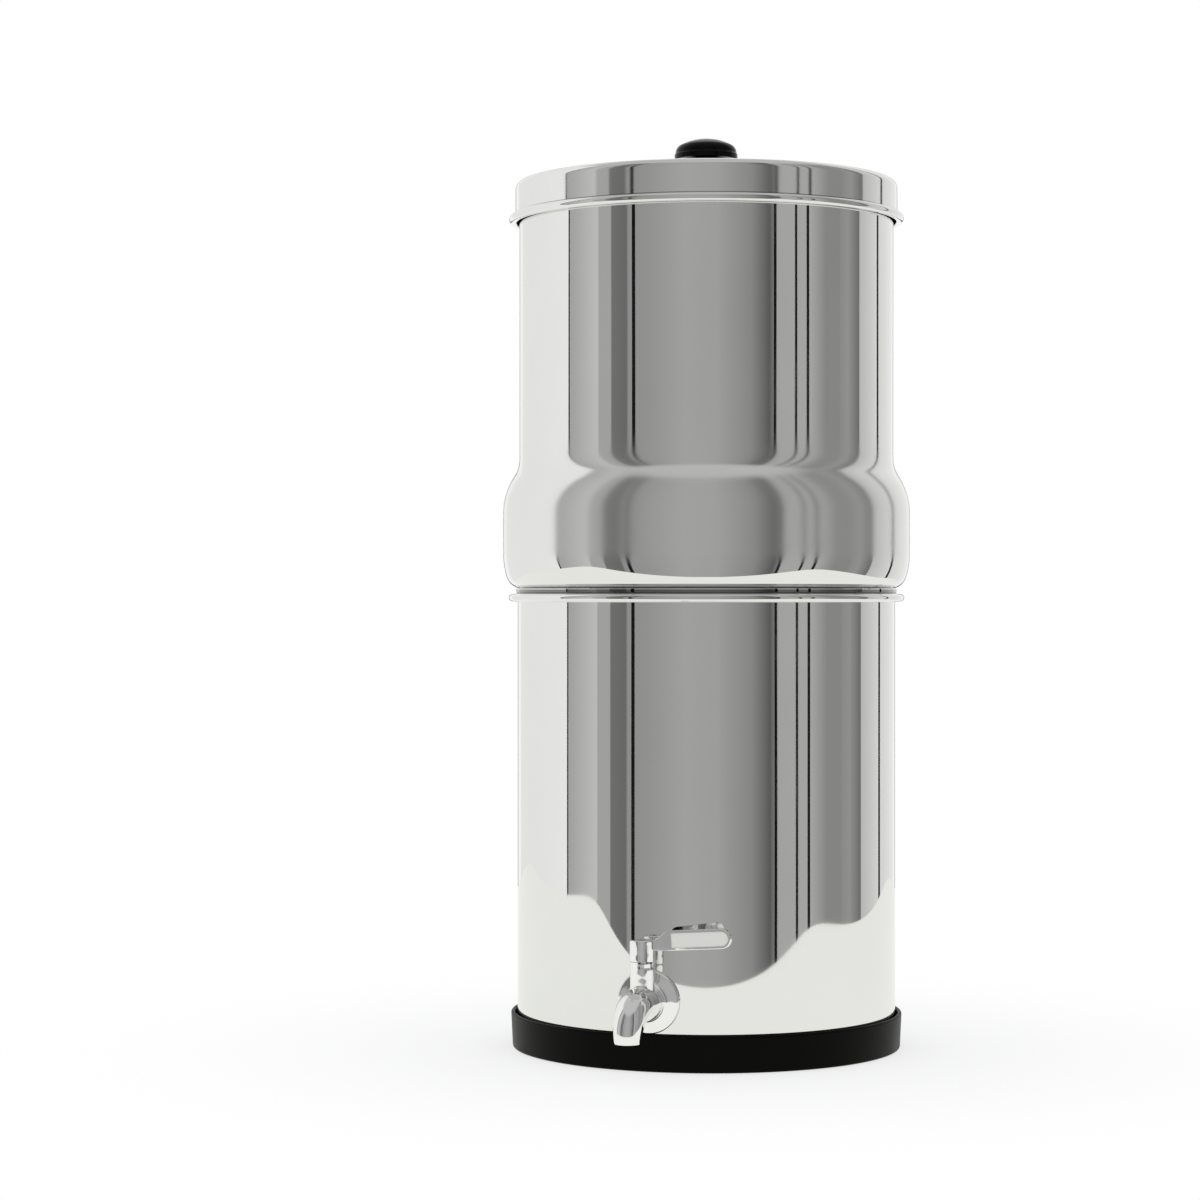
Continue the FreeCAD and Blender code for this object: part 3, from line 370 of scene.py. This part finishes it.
def profile(corners):
    """Points of a closed outline. Long edges get a point near each end, which keeps the shading true."""
    guard = 0.2
    points = []
    for corner, following in zip(corners, corners[1:] + corners[:1]):
        start, end = corner[:2], following[:2]
        if len(corner) == 3:
            points += arc(start, end, corner[2])
            continue
        points.append(start)
        length = math.dist(start, end)
        if length > 4 * guard:
            for share in (guard / length, 1 - guard / length):
                points.append(tuple(a + (b - a) * share for a, b in zip(start, end)))
    return points


def add_piece(name, mesh_or_object, body, finish, slot, *replaced):
    """Make a mesh a piece of the object, riding on a body."""
    made = mesh_or_object
    if isinstance(made, bpy.types.Mesh):
        made = bpy.data.objects.new(name, made)
        bpy.context.scene.collection.objects.link(made)
    made.name = name
    made.data.materials.clear()
    made.data.materials.append(finish)
    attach(made, body)
    if replaced:
        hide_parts(*replaced)
    return made


def finish_mesh(work, name, sharp=28):
    """A mesh from bmesh work, smooth but for edges sharper than an angle."""
    bmesh.ops.recalc_face_normals(work, faces=work.faces)
    for face in work.faces:
        face.smooth = True
    for edge in work.edges:
        if edge.is_manifold and edge.calc_face_angle() > math.radians(sharp):
            edge.smooth = False
    mesh = bpy.data.meshes.new(name)
    work.to_mesh(mesh)
    work.free()
    return mesh


def turned(name, corners, around=AROUND, turn=None, span=360.0, start=0.0):
    """A mesh turned about Z from (radius, height) corners in mm, then put in place by a matrix."""
    work = bmesh.new()
    whole = span >= 360
    columns = []
    rows = profile(corners)
    count = around if whole else around + 1
    poles = {}
    for index in range(count):
        angle = math.radians(start + span * index / around)
        column = []
        for row, (radius, height) in enumerate(rows):
            if radius == 0:
                if row not in poles:
                    poles[row] = work.verts.new((0, 0, height * MM))
                column.append(poles[row])
            else:
                place = (radius * math.cos(angle) * MM, radius * math.sin(angle) * MM, height * MM)
                column.append(work.verts.new(place))
        columns.append(column)
    for index in range(around):
        here, there = columns[index], columns[(index + 1) % count]
        for row in range(len(rows)):
            above = (row + 1) % len(rows)
            ring = [here[row], there[row], there[above], here[above]]
            corners_left = list(dict.fromkeys(ring))
            if len(corners_left) > 2:
                work.faces.new(corners_left)
    if not whole:
        work.faces.new(columns[0])
        work.faces.new(list(reversed(columns[-1])))
    if turn:
        work.transform(turn)
    return finish_mesh(work, name)


def spot(x=0.0, y=0.0, z=0.0):
    return Matrix.Translation((x * MM, y * MM, z * MM))


AT_BALL = spot(0, STEM_Y, TAP_Z)
TOWARDS_VESSEL = AT_BALL @ Matrix.Rotation(math.radians(-90), 4, "X")


def loose(name, mesh):
    """An object that only helps to make another."""
    made = bpy.data.objects.new(name, mesh)
    bpy.context.scene.collection.objects.link(made)
    return made


def settle(made):
    """Apply every modifier."""
    bpy.context.view_layer.update()
    graph = bpy.context.evaluated_depsgraph_get()
    mesh = bpy.data.meshes.new_from_object(made.evaluated_get(graph))
    made.modifiers.clear()
    made.data = mesh
    return made


def combine(base, tool, operation):
    """A boolean of two objects that uses the tool up."""
    step = base.modifiers.new("combine", "BOOLEAN")
    step.operation = operation
    step.solver = "EXACT"
    step.object = tool
    settle(base)
    bpy.data.objects.remove(tool)
    return base


def soften(made, width, angle):
    """Round the edges that are sharper than an angle."""
    step = made.modifiers.new("soften", "BEVEL")
    step.width = width * MM
    step.segments = 3
    step.limit_method = "ANGLE"
    step.angle_limit = math.radians(angle)
    return settle(made)


def shade(made, angle=30):
    """Smooth shading with crisp edges past an angle."""
    work = bmesh.new()
    work.from_mesh(made.data)
    made.data = finish_mesh(work, made.name, angle)
    return made


def rod(name, radius, low, high, turn):
    corners = [(0, low), (radius, low), (radius, high), (0, high)]
    return loose(name, turned(name, corners, SMALL_AROUND, turn=turn))


# Chambers

def make_lower_can():
    inside = SHELL - SHEET
    half = RIM_HEIGHT / 2
    rim_low = RIM_TOP - RIM_HEIGHT
    below_hole, above_hole = TAP_Z - 12, TAP_Z + 12
    can = loose("lower_can", turned("lower_can", [
        (0, FLOOR),
        (SHELL - CORNER, FLOOR, CORNER),
        (SHELL, FLOOR + CORNER),
        (SHELL, below_hole),
        (SHELL, above_hole),
        (SHELL, rim_low),
        (RIM_RADIUS - half, rim_low, half),
        (RIM_RADIUS, RIM_TOP - half, half),
        (RIM_RADIUS - half, RIM_TOP),
        (inside + half, RIM_TOP, half),
        (inside, RIM_TOP - half),
        (inside, above_hole),
        (inside, below_hole),
        (inside, FLOOR + CORNER, SHEET - CORNER),
        (SHELL - CORNER, FLOOR + SHEET),
        (0, FLOOR + SHEET),
    ]))
    across = spot(0, 0, TAP_Z) @ Matrix.Rotation(math.radians(-90), 4, "X")
    hole = rod("tap_hole", TAP_HOLE, -SHELL - 5, -SHELL + 8, across)
    combine(can, hole, "DIFFERENCE")
    add_piece("lower_can", shade(can), "vessel", STEEL, "polished_steel", "lower_chamber")


def upper_profile():
    inside = SPIGOT - SHEET
    diagonal = math.cos(math.radians(45))
    seat_radius = NECK - NECK_ROUND * (1 - diagonal)
    seat_level = NECK_LOW - NECK_ROUND * diagonal
    cone_level = seat_level - (seat_radius - SPIGOT)
    inner_round = NECK_ROUND - SHEET
    inner_neck = NECK - SHEET
    crease = NECK_TOP + SHEET / 2
    turn_out, turn_down = math.cos(math.radians(BELLY_TURN)), math.sin(math.radians(BELLY_TURN))
    foot_out, foot_down = math.cos(math.radians(BELLY_SLOPE)), math.sin(math.radians(BELLY_SLOPE))
    meet = BELLY - BELLY_ROUND * (1 - turn_out)
    foot_round = (meet - BELLY_FOOT) / (turn_out - foot_out)
    meet_level = crease + foot_round * (foot_down - turn_down)
    belly_low = meet_level + BELLY_ROUND * turn_down
    lean = 1 - math.cos(math.radians(SHOULDER_ANGLE))
    climb = math.sin(math.radians(SHOULDER_ANGLE))
    wall_round = (BELLY - WALL) / lean - SHOULDER_ROUND
    inner_shoulder = SHOULDER_ROUND - SHEET
    shoulder_level = BELLY_HIGH + SHOULDER_ROUND * climb
    wall_level = shoulder_level + wall_round * climb
    half = HEM_WIDTH / 2
    hem_out = WALL - SHEET + HEM_WIDTH
    hem_low = HEM_TOP - HEM_HEIGHT
    return [
        (0, SPIGOT_BOTTOM),
        (SPIGOT - CORNER, SPIGOT_BOTTOM, CORNER),
        (SPIGOT, SPIGOT_BOTTOM + CORNER),
        (SPIGOT, cone_level),
        (seat_radius, seat_level, NECK_ROUND),
        (NECK, NECK_LOW),
        (NECK, NECK_TOP),
        (BELLY_FOOT, crease, foot_round),
        (meet, meet_level, BELLY_ROUND),
        (BELLY, belly_low),
        (BELLY, BELLY_HIGH, SHOULDER_ROUND),
        (BELLY - SHOULDER_ROUND * lean, shoulder_level, -wall_round),
        (WALL, wall_level),
        (WALL, hem_low),
        (hem_out, hem_low + half),
        (hem_out, HEM_TOP - half, half),
        (hem_out - half, HEM_TOP, half),
        (WALL - SHEET, HEM_TOP - half),
        (WALL - SHEET, wall_level, wall_round + SHEET),
        (BELLY - SHEET - inner_shoulder * lean, BELLY_HIGH + inner_shoulder * climb, -inner_shoulder),
        (BELLY - SHEET, BELLY_HIGH),
        (BELLY - SHEET, belly_low, SHEET - BELLY_ROUND),
        (meet - SHEET * turn_out, meet_level + SHEET * turn_down, SHEET - foot_round),
        (BELLY_FOOT - SHEET * foot_out, crease + SHEET * foot_down),
        (inner_neck, NECK_TOP),
        (inner_neck, NECK_LOW, -inner_round),
        (inner_neck - inner_round * (1 - diagonal), NECK_LOW - inner_round * diagonal),
        (inside, cone_level + SHEET * (1 / diagonal - 1)),
        (inside, SPIGOT_BOTTOM + CORNER, SHEET - CORNER),
        (SPIGOT - CORNER, SPIGOT_BOTTOM + SHEET),
        (0, SPIGOT_BOTTOM + SHEET),
    ]


def make_upper_can():
    can = loose("upper_can", turned("upper_can", upper_profile()))
    for side in (-1, 1):
        hole = rod("filter_hole", FILTER_HOLE, SPIGOT_BOTTOM - 3, SPIGOT_BOTTOM + 3, spot(side * FILTER_X))
        combine(can, hole, "DIFFERENCE")
    add_piece("upper_can", shade(can), "upper", STEEL, "polished_steel", "upper_chamber")


def make_lid_cap():
    inside = LID_RADIUS - SHEET
    half = BEAD_HEIGHT / 2
    low = BEAD_TOP - BEAD_HEIGHT
    mesh = turned("lid_cap", [
        (LID_HOLE, LID_TOP - SHEET),
        (LID_RADIUS - LID_CORNER, LID_TOP - SHEET, SHEET - LID_CORNER),
        (inside, LID_TOP - LID_CORNER),
        (inside, low + BEAD_LIP, BEAD_LIP),
        (inside + BEAD_LIP, low),
        (BEAD_RADIUS - half, low, half),
        (BEAD_RADIUS, low + half, half),
        (BEAD_RADIUS - half, BEAD_TOP),
        (LID_RADIUS, BEAD_TOP),
        (LID_RADIUS, LID_TOP - LID_CORNER, LID_CORNER),
        (LID_RADIUS - LID_CORNER, LID_TOP),
        (LID_HOLE, LID_TOP),
    ])
    add_piece("lid_cap", mesh, "cover", LID_STEEL, "polished_steel", "lid")


def make_knob():
    """A mushroom whose dome is a small arc at its edge and a large one over the middle."""
    base = LID_TOP
    bore, bore_depth, foot, foot_height = 2.5, 12.0, 11.0, 1.8
    dome, small, lip_high, height = 18.4, 5.5, 18.2, 26.8
    rise = height - lip_high
    crown = (rise * rise + dome * dome - 2 * dome * small) / (2 * (rise - small))
    reach = crown - small
    joint = (crown * (dome - small) / reach, base + height - crown + crown * (crown - rise) / reach)
    waist, waist_level, lip, lip_low = 8.6, 6.0, 19.0, 14.2
    flare = lip_low - waist_level
    edge = (lip_high - lip_low) / 4
    mesh = turned("knob", [
        (bore, base),
        (foot, base),
        (foot, base + foot_height),
        (waist, base + waist_level, -flare),
        (waist + flare, base + lip_low),
        (lip - edge, base + lip_low, edge),
        (lip, base + lip_low + edge),
        (lip, base + lip_high - edge),
        (dome, base + lip_high, small),
        (*joint, crown),
        (0, base + height),
        (0, base + bore_depth),
        (bore, base + bore_depth),
    ], around=160)
    add_piece("knob", mesh, "cover", KNOB, "knob_black", "lid_knob")


def make_ring():
    half = RING_LIP_THICK / 2
    lip_level = RING_TOP - half
    inside = RING_LIP - RING_LIP_THICK
    mesh = turned("base_rubber", [
        (RING_LEDGE, 0),
        (RING_FOOT - RING_EDGE, 0, RING_EDGE),
        (RING_FOOT, RING_EDGE),
        (RING_LIP, lip_level, half),
        (RING_LIP - half, RING_TOP, half),
        (inside, lip_level),
        (inside, lip_level - RING_LIP_THICK),
        (RING_BORE, lip_level - 2 * RING_LIP_THICK),
        (RING_BORE, FLOOR),
        (RING_LEDGE, FLOOR),
    ])
    add_piece("base_rubber", mesh, "vessel", RUBBER, "black_rubber", "base_ring")


# Tap

def swept(name, path, radii, around=SMALL_AROUND):
    """A closed mesh of circles in planes that hold X, along (y, z, slope) stations in mm from the ball."""
    work = bmesh.new()
    rings = []
    for (y, z, slope), radius in zip(path, radii):
        tilt = math.radians(slope)
        across = Vector((1, 0, 0))
        up = Vector((0, -math.sin(tilt), math.cos(tilt)))
        ring = []
        for index in range(around):
            angle = 2 * math.pi * index / around
            place = Vector((0, y, z)) + radius * (across * math.cos(angle) + up * math.sin(angle))
            ring.append(work.verts.new(place * MM))
        rings.append(ring)
    for here, there in zip(rings, rings[1:]):
        for index in range(around):
            after = (index + 1) % around
            work.faces.new([here[index], here[after], there[after], there[index]])
    work.faces.new(rings[0])
    work.faces.new(list(reversed(rings[-1])))
    work.transform(AT_BALL)
    return finish_mesh(work, name)


def spout_path(start, end_drop):
    """Stations along the spout's bend: (y, z, slope) in mm from the ball."""
    bend_start, bend = 10.0, 17.0
    path = [(-start, 0, 0)]
    steps = 30
    for index in range(steps + 1):
        slope = 90 * index / steps
        turn = math.radians(slope)
        path.append((-bend_start - bend * math.sin(turn), -bend * (1 - math.cos(turn)), slope))
    path.append((-bend_start - bend, -end_drop, 90))
    return path


def spout_radii(path, first, last, power):
    """Radii that change from first to last along the bend."""
    return [first + (last - first) * (slope / 90) ** power for _, _, slope in path]


def make_tap_casting():
    """Flange, barrel, spout and stem housing melted into one casting, then the stop lug and the water way."""
    slope = math.radians(14)
    fillet, fillet_start, barrel, flange = 4.0, 5.0, 10.0, 18.4
    fillet_out = fillet_start + fillet * math.cos(slope)
    fillet_radius = barrel + fillet * (1 - math.sin(slope))
    edge = 1.2
    face_out = fillet_out + (flange - edge - fillet_radius) * math.tan(slope)
    back = 11.9           # the flange's flat back, on its gasket
    nose = -8.0           # the barrel's end inside the spout's root
    body = loose("tap_casting", turned("tap_casting", [
        (0, nose),
        (barrel, nose),
        (barrel, fillet_start, -fillet),
        (fillet_radius, fillet_out),
        (flange - edge, face_out, edge),
        (flange, face_out + edge),
        (flange, back),
        (0, back),
    ], around=128, turn=TOWARDS_VESSEL))
    outside = spout_path(7.5, 18.8)
    radii = spout_radii(outside, barrel, 7.8, 1.65)
    radii[0] = barrel - 0.1
    radii[-1] = 7.5       # the outlet's rim
    combine(body, loose("spout", swept("spout", outside, radii)), "UNION")
    combine(body, rod("tower", TOWER, -2, 20.6, AT_BALL), "UNION")
    blend = body.modifiers.new("blend", "REMESH")
    blend.mode = "VOXEL"
    blend.voxel_size = 0.3 * MM
    smooth = body.modifiers.new("smooth", "SMOOTH")
    smooth.factor = 0.5
    smooth.iterations = 10
    settle(body)
    lug_span, lug_middle = 87.0, -138.0
    lug_inside, lug_low, lug_top = 5.6, 19.6, 24.2
    lug = turned("lug", [
        (lug_inside, lug_low),
        (TOWER, lug_low),
        (TOWER, lug_top),
        (lug_inside, lug_top),
    ], 40, turn=AT_BALL, span=lug_span, start=lug_middle - lug_span / 2)
    combine(body, loose("lug", lug), "UNION")
    inside = spout_path(-6.0, 21.0)
    bores = spout_radii(inside, 4.8, 5.6, 1.0)
    combine(body, loose("passage", swept("passage", inside, bores, 64)), "DIFFERENCE")
    web_low, web_top, mouth = 12.0, 14.5, 22.0
    stem_room = turned("stem_room", [
        (0, 0),
        (STEM_POCKET, 0),
        (STEM_POCKET, web_low),
        (SPINDLE_HOLE, web_low),
        (SPINDLE_HOLE, web_top),
        (STEM_POCKET, web_top),
        (STEM_POCKET, mouth),
        (0, mouth),
    ], 64, turn=AT_BALL)
    combine(body, loose("stem_room", stem_room), "DIFFERENCE")
    ball_room, ball_room_end, shank_room, shank_room_end = 7.5, 7.0, 8.0, 13.0
    cavity = turned("cavity", [
        (0, -ball_room_end),
        (ball_room, -ball_room_end),
        (ball_room, ball_room_end),
        (shank_room, ball_room_end),
        (shank_room, shank_room_end),
        (0, shank_room_end),
    ], 64, turn=TOWARDS_VESSEL)
    combine(body, loose("cavity", cavity), "DIFFERENCE")
    add_piece("tap_casting", shade(body, 40), "vessel", PLATED, "plated_tap", "tap_body")


def prism(name, outline, low, high, turn):
    """A closed outline in (x, z) mm pushed along y from low to high."""
    work = bmesh.new()
    near = [work.verts.new((x * MM, low * MM, z * MM)) for x, z in outline]
    far = [work.verts.new((x * MM, high * MM, z * MM)) for x, z in outline]
    for index in range(len(outline)):
        after = (index + 1) % len(outline)
        work.faces.new([near[index], near[after], far[after], far[index]])
    work.faces.new(near)
    work.faces.new(list(reversed(far)))
    work.transform(turn)
    return loose(name, finish_mesh(work, name))


def plain_outline(corners):
    """Points of an outline without the guard points of a turned profile."""
    points = []
    for corner, following in zip(corners, corners[1:] + corners[:1]):
        if len(corner) == 3:
            points += arc(corner[:2], following[:2], corner[2])
        else:
            points.append(corner)
    return points


def make_lever():
    """A tilted flat arm on a hub, with a stop skirt below, a square socket and a sunk field."""
    tilt, axis, reach, half, thick = 4.0, 35.45, 52.6, 5.65, 3.4
    arm_place = AT_BALL @ spot(0, 0, axis) @ Matrix.Rotation(math.radians(-tilt), 4, "Y")
    arm = prism("lever", plain_outline([
        (3.0, -4.9),
        (13.0, -half),
        (reach - half, -half, half),
        (reach, 0, half),
        (reach - half, half),
        (17.0, half, 6.0),
        (12.8, 3.9),
        (6.4, -0.2),
        (3.0, -0.2),
    ]), -thick / 2, thick / 2, arm_place)
    soften(arm, 0.5, 40)
    hub_low, hub_top, hub_edge = 24.5, 36.5, 0.8
    hub = loose("hub", turned("hub", [
        (0, hub_low),
        (HUB, hub_low),
        (HUB, hub_top - hub_edge, hub_edge),
        (HUB - hub_edge, hub_top),
        (0, hub_top),
    ], around=128, turn=AT_BALL))
    combine(arm, hub, "UNION")
    skirt_inside, skirt_low, skirt_top = 5.7, 20.8, 25.5
    skirt = turned("skirt", [
        (skirt_inside, skirt_low),
        (HUB, skirt_low),
        (HUB, skirt_top),
        (skirt_inside, skirt_top),
    ], 72, turn=AT_BALL, span=180.0, start=-3.0)
    combine(arm, loose("skirt", skirt), "UNION")
    square_corner, socket_low, socket_top = 3.18, 20, 33.5
    socket = turned("socket", [
        (0, socket_low),
        (square_corner, socket_low),
        (square_corner, socket_top),
        (0, socket_top),
    ], 4, turn=AT_BALL @ Matrix.Rotation(math.radians(45), 4, "Z"))
    combine(arm, loose("socket", socket), "DIFFERENCE")
    head_hole, below, above = 3.2, 32, 38
    sink = turned("sink", [
        (0, below),
        (SCREW_SHANK, below),
        (SCREW_SHANK, SINK_LOW),
        (head_hole, SINK_HIGH),
        (head_hole, above),
        (0, above),
    ], 64, turn=AT_BALL)
    combine(arm, loose("sink", sink), "DIFFERENCE")
    inset = half - 1.5
    field_start, sunk, plate_back = 17.6, 0.35, 0.6
    field_outline = plain_outline([
        (field_start, -inset),
        (reach - half, -inset, inset),
        (reach - half + inset, 0, inset),
        (reach - half, inset),
        (field_start, inset),
    ])
    field = prism("field_cut", field_outline, -thick, -thick / 2 + sunk, arm_place)
    combine(arm, field, "DIFFERENCE")
    add_piece("lever", shade(arm, 30), "valve", PLATED, "lever_finish", "tap_lever")
    plate = prism("lever_field", field_outline, -thick / 2 + sunk - 0.01, -thick / 2 + plate_back, arm_place)
    add_piece("lever_field", plate, "valve", SATIN, "lever_finish")


def make_lever_screw():
    """Countersunk screw with a hexagonal socket."""
    shank, head, tip, top = 1.45, 3.0, 27.5, 36.3
    key, key_low, above = 1.2, 34.9, 37
    screw = loose("lever_screw_head", turned("lever_screw_head", [
        (0, tip),
        (shank, tip),
        (shank, SINK_LOW),
        (head, SINK_HIGH),
        (head, top),
        (0, top),
    ], around=64, turn=AT_BALL))
    hexagon = turned("hexagon", [(0, key_low), (key, key_low), (key, above), (0, above)], 6, turn=AT_BALL)
    combine(screw, loose("hexagon", hexagon), "DIFFERENCE")
    add_piece("lever_screw_head", shade(screw, 20), "valve", PLAIN_STEEL, "plain_steel", "lever_screw")


make_lower_can()
make_upper_can()
make_lid_cap()
make_knob()
make_ring()
make_tap_casting()
make_lever()
make_lever_screw()

# CAD nodes that show as they are, each with its finish
NODE_FINISH = {
    "tap_shank": PLATED,
    "tap_outer_gasket": GASKET,
    "tap_inner_gasket": GASKET,
    "tap_lock_nut": PLAIN_STEEL,
    "ball_seat_inner": SEAT,
    "ball_seat_outer": SEAT,
    "stem_gland_nut": PLATED,
    "valve_stem": PLAIN_STEEL,
    "stem_seal_rings": GASKET,
    "stem_thrust_washer": SEAT,
    "valve_ball": PLATED,
    "filter_block_a": CARBON,
    "filter_block_b": CARBON,
    "filter_cap_a": PLASTIC,
    "filter_cap_b": PLASTIC,
    "filter_washer_a": GASKET,
    "filter_washer_b": GASKET,
    "wing_nut_a": PLASTIC,
    "wing_nut_b": PLASTIC,
    "knob_washer": PLAIN_STEEL,
    "knob_screw": PLAIN_STEEL,
}
for node, node_finish in NODE_FINISH.items():
    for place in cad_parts[node].material_slots:
        place.material = node_finish


# Studio

CAMERA_TURN = 16.6         # degrees from the tap's direction to the camera
CAMERA_DISTANCE = 1.897
CAMERA_HEIGHT = 0.2721
CAMERA_YAW = 1.933         # the object stands this far right of the view's middle
CAMERA_PITCH = 0.116
LENS = 94.23
SENSOR = 36


def place_camera():
    turn = math.radians(CAMERA_TURN)
    data = bpy.data.cameras.new("camera")
    data.lens = LENS
    data.sensor_width = SENSOR
    camera = bpy.data.objects.new("camera", data)
    camera.location = (CAMERA_DISTANCE * math.sin(turn), -CAMERA_DISTANCE * math.cos(turn), CAMERA_HEIGHT)
    camera.rotation_euler = (math.radians(90 - CAMERA_PITCH), 0, math.radians(CAMERA_TURN + CAMERA_YAW))
    bpy.context.scene.collection.objects.link(camera)
    bpy.context.scene.camera = camera


# Studio walls seen in the steel: degrees round from the camera, positive to its right, and the brightness
# that each panel starts and ends with
WALL_PANELS = [
    (-180, 0.98, 0.98),
    (-155, 0.87, 0.94),
    (-91, 0.42, 0.60),
    (-68.5, 0.42, 0.42),
    (-59.5, 0.19, 0.16),
    (-48.5, 0.32, 0.34),
    (-36, 0.34, 0.42),
    (-12, 0.42, 0.40),
    (8, 0.39, 0.28),
    (28, 0.27, 0.11),
    (39, 0.13, 0.28),
    (43, 0.43, 0.45),
    (65, 0.46, 0.29),
    (77, 0.28, 0.28),
    (89, 0.30, 0.34),
    (97, 0.32, 0.17),
    (107, 0.56, 0.80),
    (131, 0.76, 0.92),
    (160, 0.98, 0.98),
]
# Gaps between the panels: degrees round to the middle and width in degrees
WALL_GAPS = [
    (-168, 3.0),
    (-91.8, 1.3),
    (-44.4, 2.2),
    (42.2, 1.7),
    (56.0, 1.6),
    (64.2, 1.9),
    (129.5, 2.6),
    (169, 3.0),
]
GAP_DARKNESS = 0.97
STEP = 0.0004               # how sharp a panel's edge is, as a share of half a turn
CEILING_START = math.sin(math.radians(46))
CEILING_FULL = math.sin(math.radians(58))


def light_room():
    """White to the eye and for soft light. The metal sees grey and white panels and a pale ceiling."""
    world = bpy.data.worlds.new("studio")
    bpy.context.scene.world = world
    tree = Tree(world)
    towards = tree.node("ShaderNodeTexCoord", output="Generated")
    turn = math.radians(CAMERA_TURN)

    def along(axis):
        values = {0: towards, 1: axis}
        return tree.node("ShaderNodeVectorMath", {"operation": "DOT_PRODUCT"}, values, output="Value")

    front = along((math.sin(turn), -math.cos(turn), 0))
    right = along((math.cos(turn), math.sin(turn), 0))
    height = along((0, 0, 1))
    around = right.maths("ARCTAN2", front) / math.pi
    walls = panel_ramps(tree, around)
    for angle, width in WALL_GAPS:
        walls = walls * (1 - around.maths("COMPARE", angle / 180, width / 360) * GAP_DARKNESS)
    sideways = right * right
    ceiling = sideways.step(0.6, 0.98) * 0.4 + 0.54
    overhead = height.step(CEILING_START, CEILING_FULL)
    studio = tree.node("ShaderNodeMix", None, {0: overhead, 2: walls, 3: ceiling})
    rays = tree.nodes.new("ShaderNodeLightPath")
    glossy = Value(tree, rays.outputs["Is Glossy Ray"])
    level = tree.node("ShaderNodeMix", None, {0: glossy, 2: 1.0, 3: studio})
    light = tree.node("ShaderNodeBackground", None, {"Color": level, "Strength": 1.0})
    tree.node("ShaderNodeOutputWorld", None, {0: light})


def panel_ramps(tree, around):
    """Brightness round the room, with one ramp for each side, from 0 at the side's left to 1 at its right."""
    sides = []
    for start, end in ((-180, 0), (0, 180)):
        stops = []
        for (angle, first, last), following in zip(WALL_PANELS, WALL_PANELS[1:] + [(180, 0, 0)]):
            low, high = max(angle, start), min(following[0], end)
            if low >= high:
                continue
            slope = (last - first) / (following[0] - angle)
            for place, inward in ((low, STEP), (high, -STEP)):
                stops.append(((place - start) / 180 + inward, first + slope * (place - angle)))
        sides.append(tree.node("ShaderNodeValToRGB", {"stops": stops}, {0: around - start / 180}))
    left, right = sides
    return tree.node("ShaderNodeMix", None, {0: around.maths("GREATER_THAN", 0.0), 2: left, 3: right})


def lay_floor():
    """A finite white table, so that its edge shows in the steel, fading to plain white in the view."""
    work = bmesh.new()
    rings = 40
    around = 96
    centre = Vector((-0.12, 0.25, -0.0003))
    half_width, half_depth = 0.98, 0.75
    squareness = 6
    previous = None
    middle = work.verts.new(centre)
    turn = Matrix.Rotation(math.radians(CAMERA_TURN), 4, "Z")
    for ring in range(1, rings + 1):
        share = ring / rings
        row = []
        for index in range(around):
            angle = 2 * math.pi * index / around
            x, y = math.cos(angle), math.sin(angle)
            squarish = (abs(x) ** squareness + abs(y) ** squareness) ** (-1 / squareness)
            out = Vector((x * half_width, y * half_depth, 0))
            row.append(work.verts.new(centre + out * squarish * share))
        for index in range(around):
            after = (index + 1) % around
            if previous:
                work.faces.new([previous[index], previous[after], row[after], row[index]])
            else:
                work.faces.new([middle, row[index], row[after]])
        previous = row
    work.transform(turn)
    mesh = bpy.data.meshes.new("floor")
    work.to_mesh(mesh)
    work.free()
    floor = bpy.data.objects.new("floor", mesh)
    bpy.context.scene.collection.objects.link(floor)
    material = bpy.data.materials.new("white_table")
    tree = Tree(material)
    rays = tree.nodes.new("ShaderNodeLightPath")
    seen = Value(tree, rays.outputs["Is Camera Ray"])
    here = tree.node("ShaderNodeTexCoord", output="Object")
    out = tree.node("ShaderNodeVectorMath", {"operation": "LENGTH"}, {0: here}, output="Value")
    fade = out.step(0.13, 0.42)
    matte = tree.node("ShaderNodeBsdfDiffuse", None, {"Color": (0.93, 0.94, 0.945, 1)})
    tints = {0: seen, 6: (0.93, 0.94, 0.90, 1), 7: grey(1)}
    tint = tree.node("ShaderNodeMix", {"data_type": "RGBA"}, tints, output=2)
    white = tree.node("ShaderNodeEmission", None, {"Color": tint, "Strength": 1.0})
    share = seen * (fade * 0.35 + 0.65) + (1 - seen) * 0.95
    mixed = tree.node("ShaderNodeMixShader", None, {0: share, 1: matte, 2: white})
    tree.node("ShaderNodeOutputMaterial", None, {0: mixed})
    mesh.materials.append(material)


place_camera()
light_room()
lay_floor()

scene = bpy.context.scene
scene.view_settings.view_transform = "Standard"
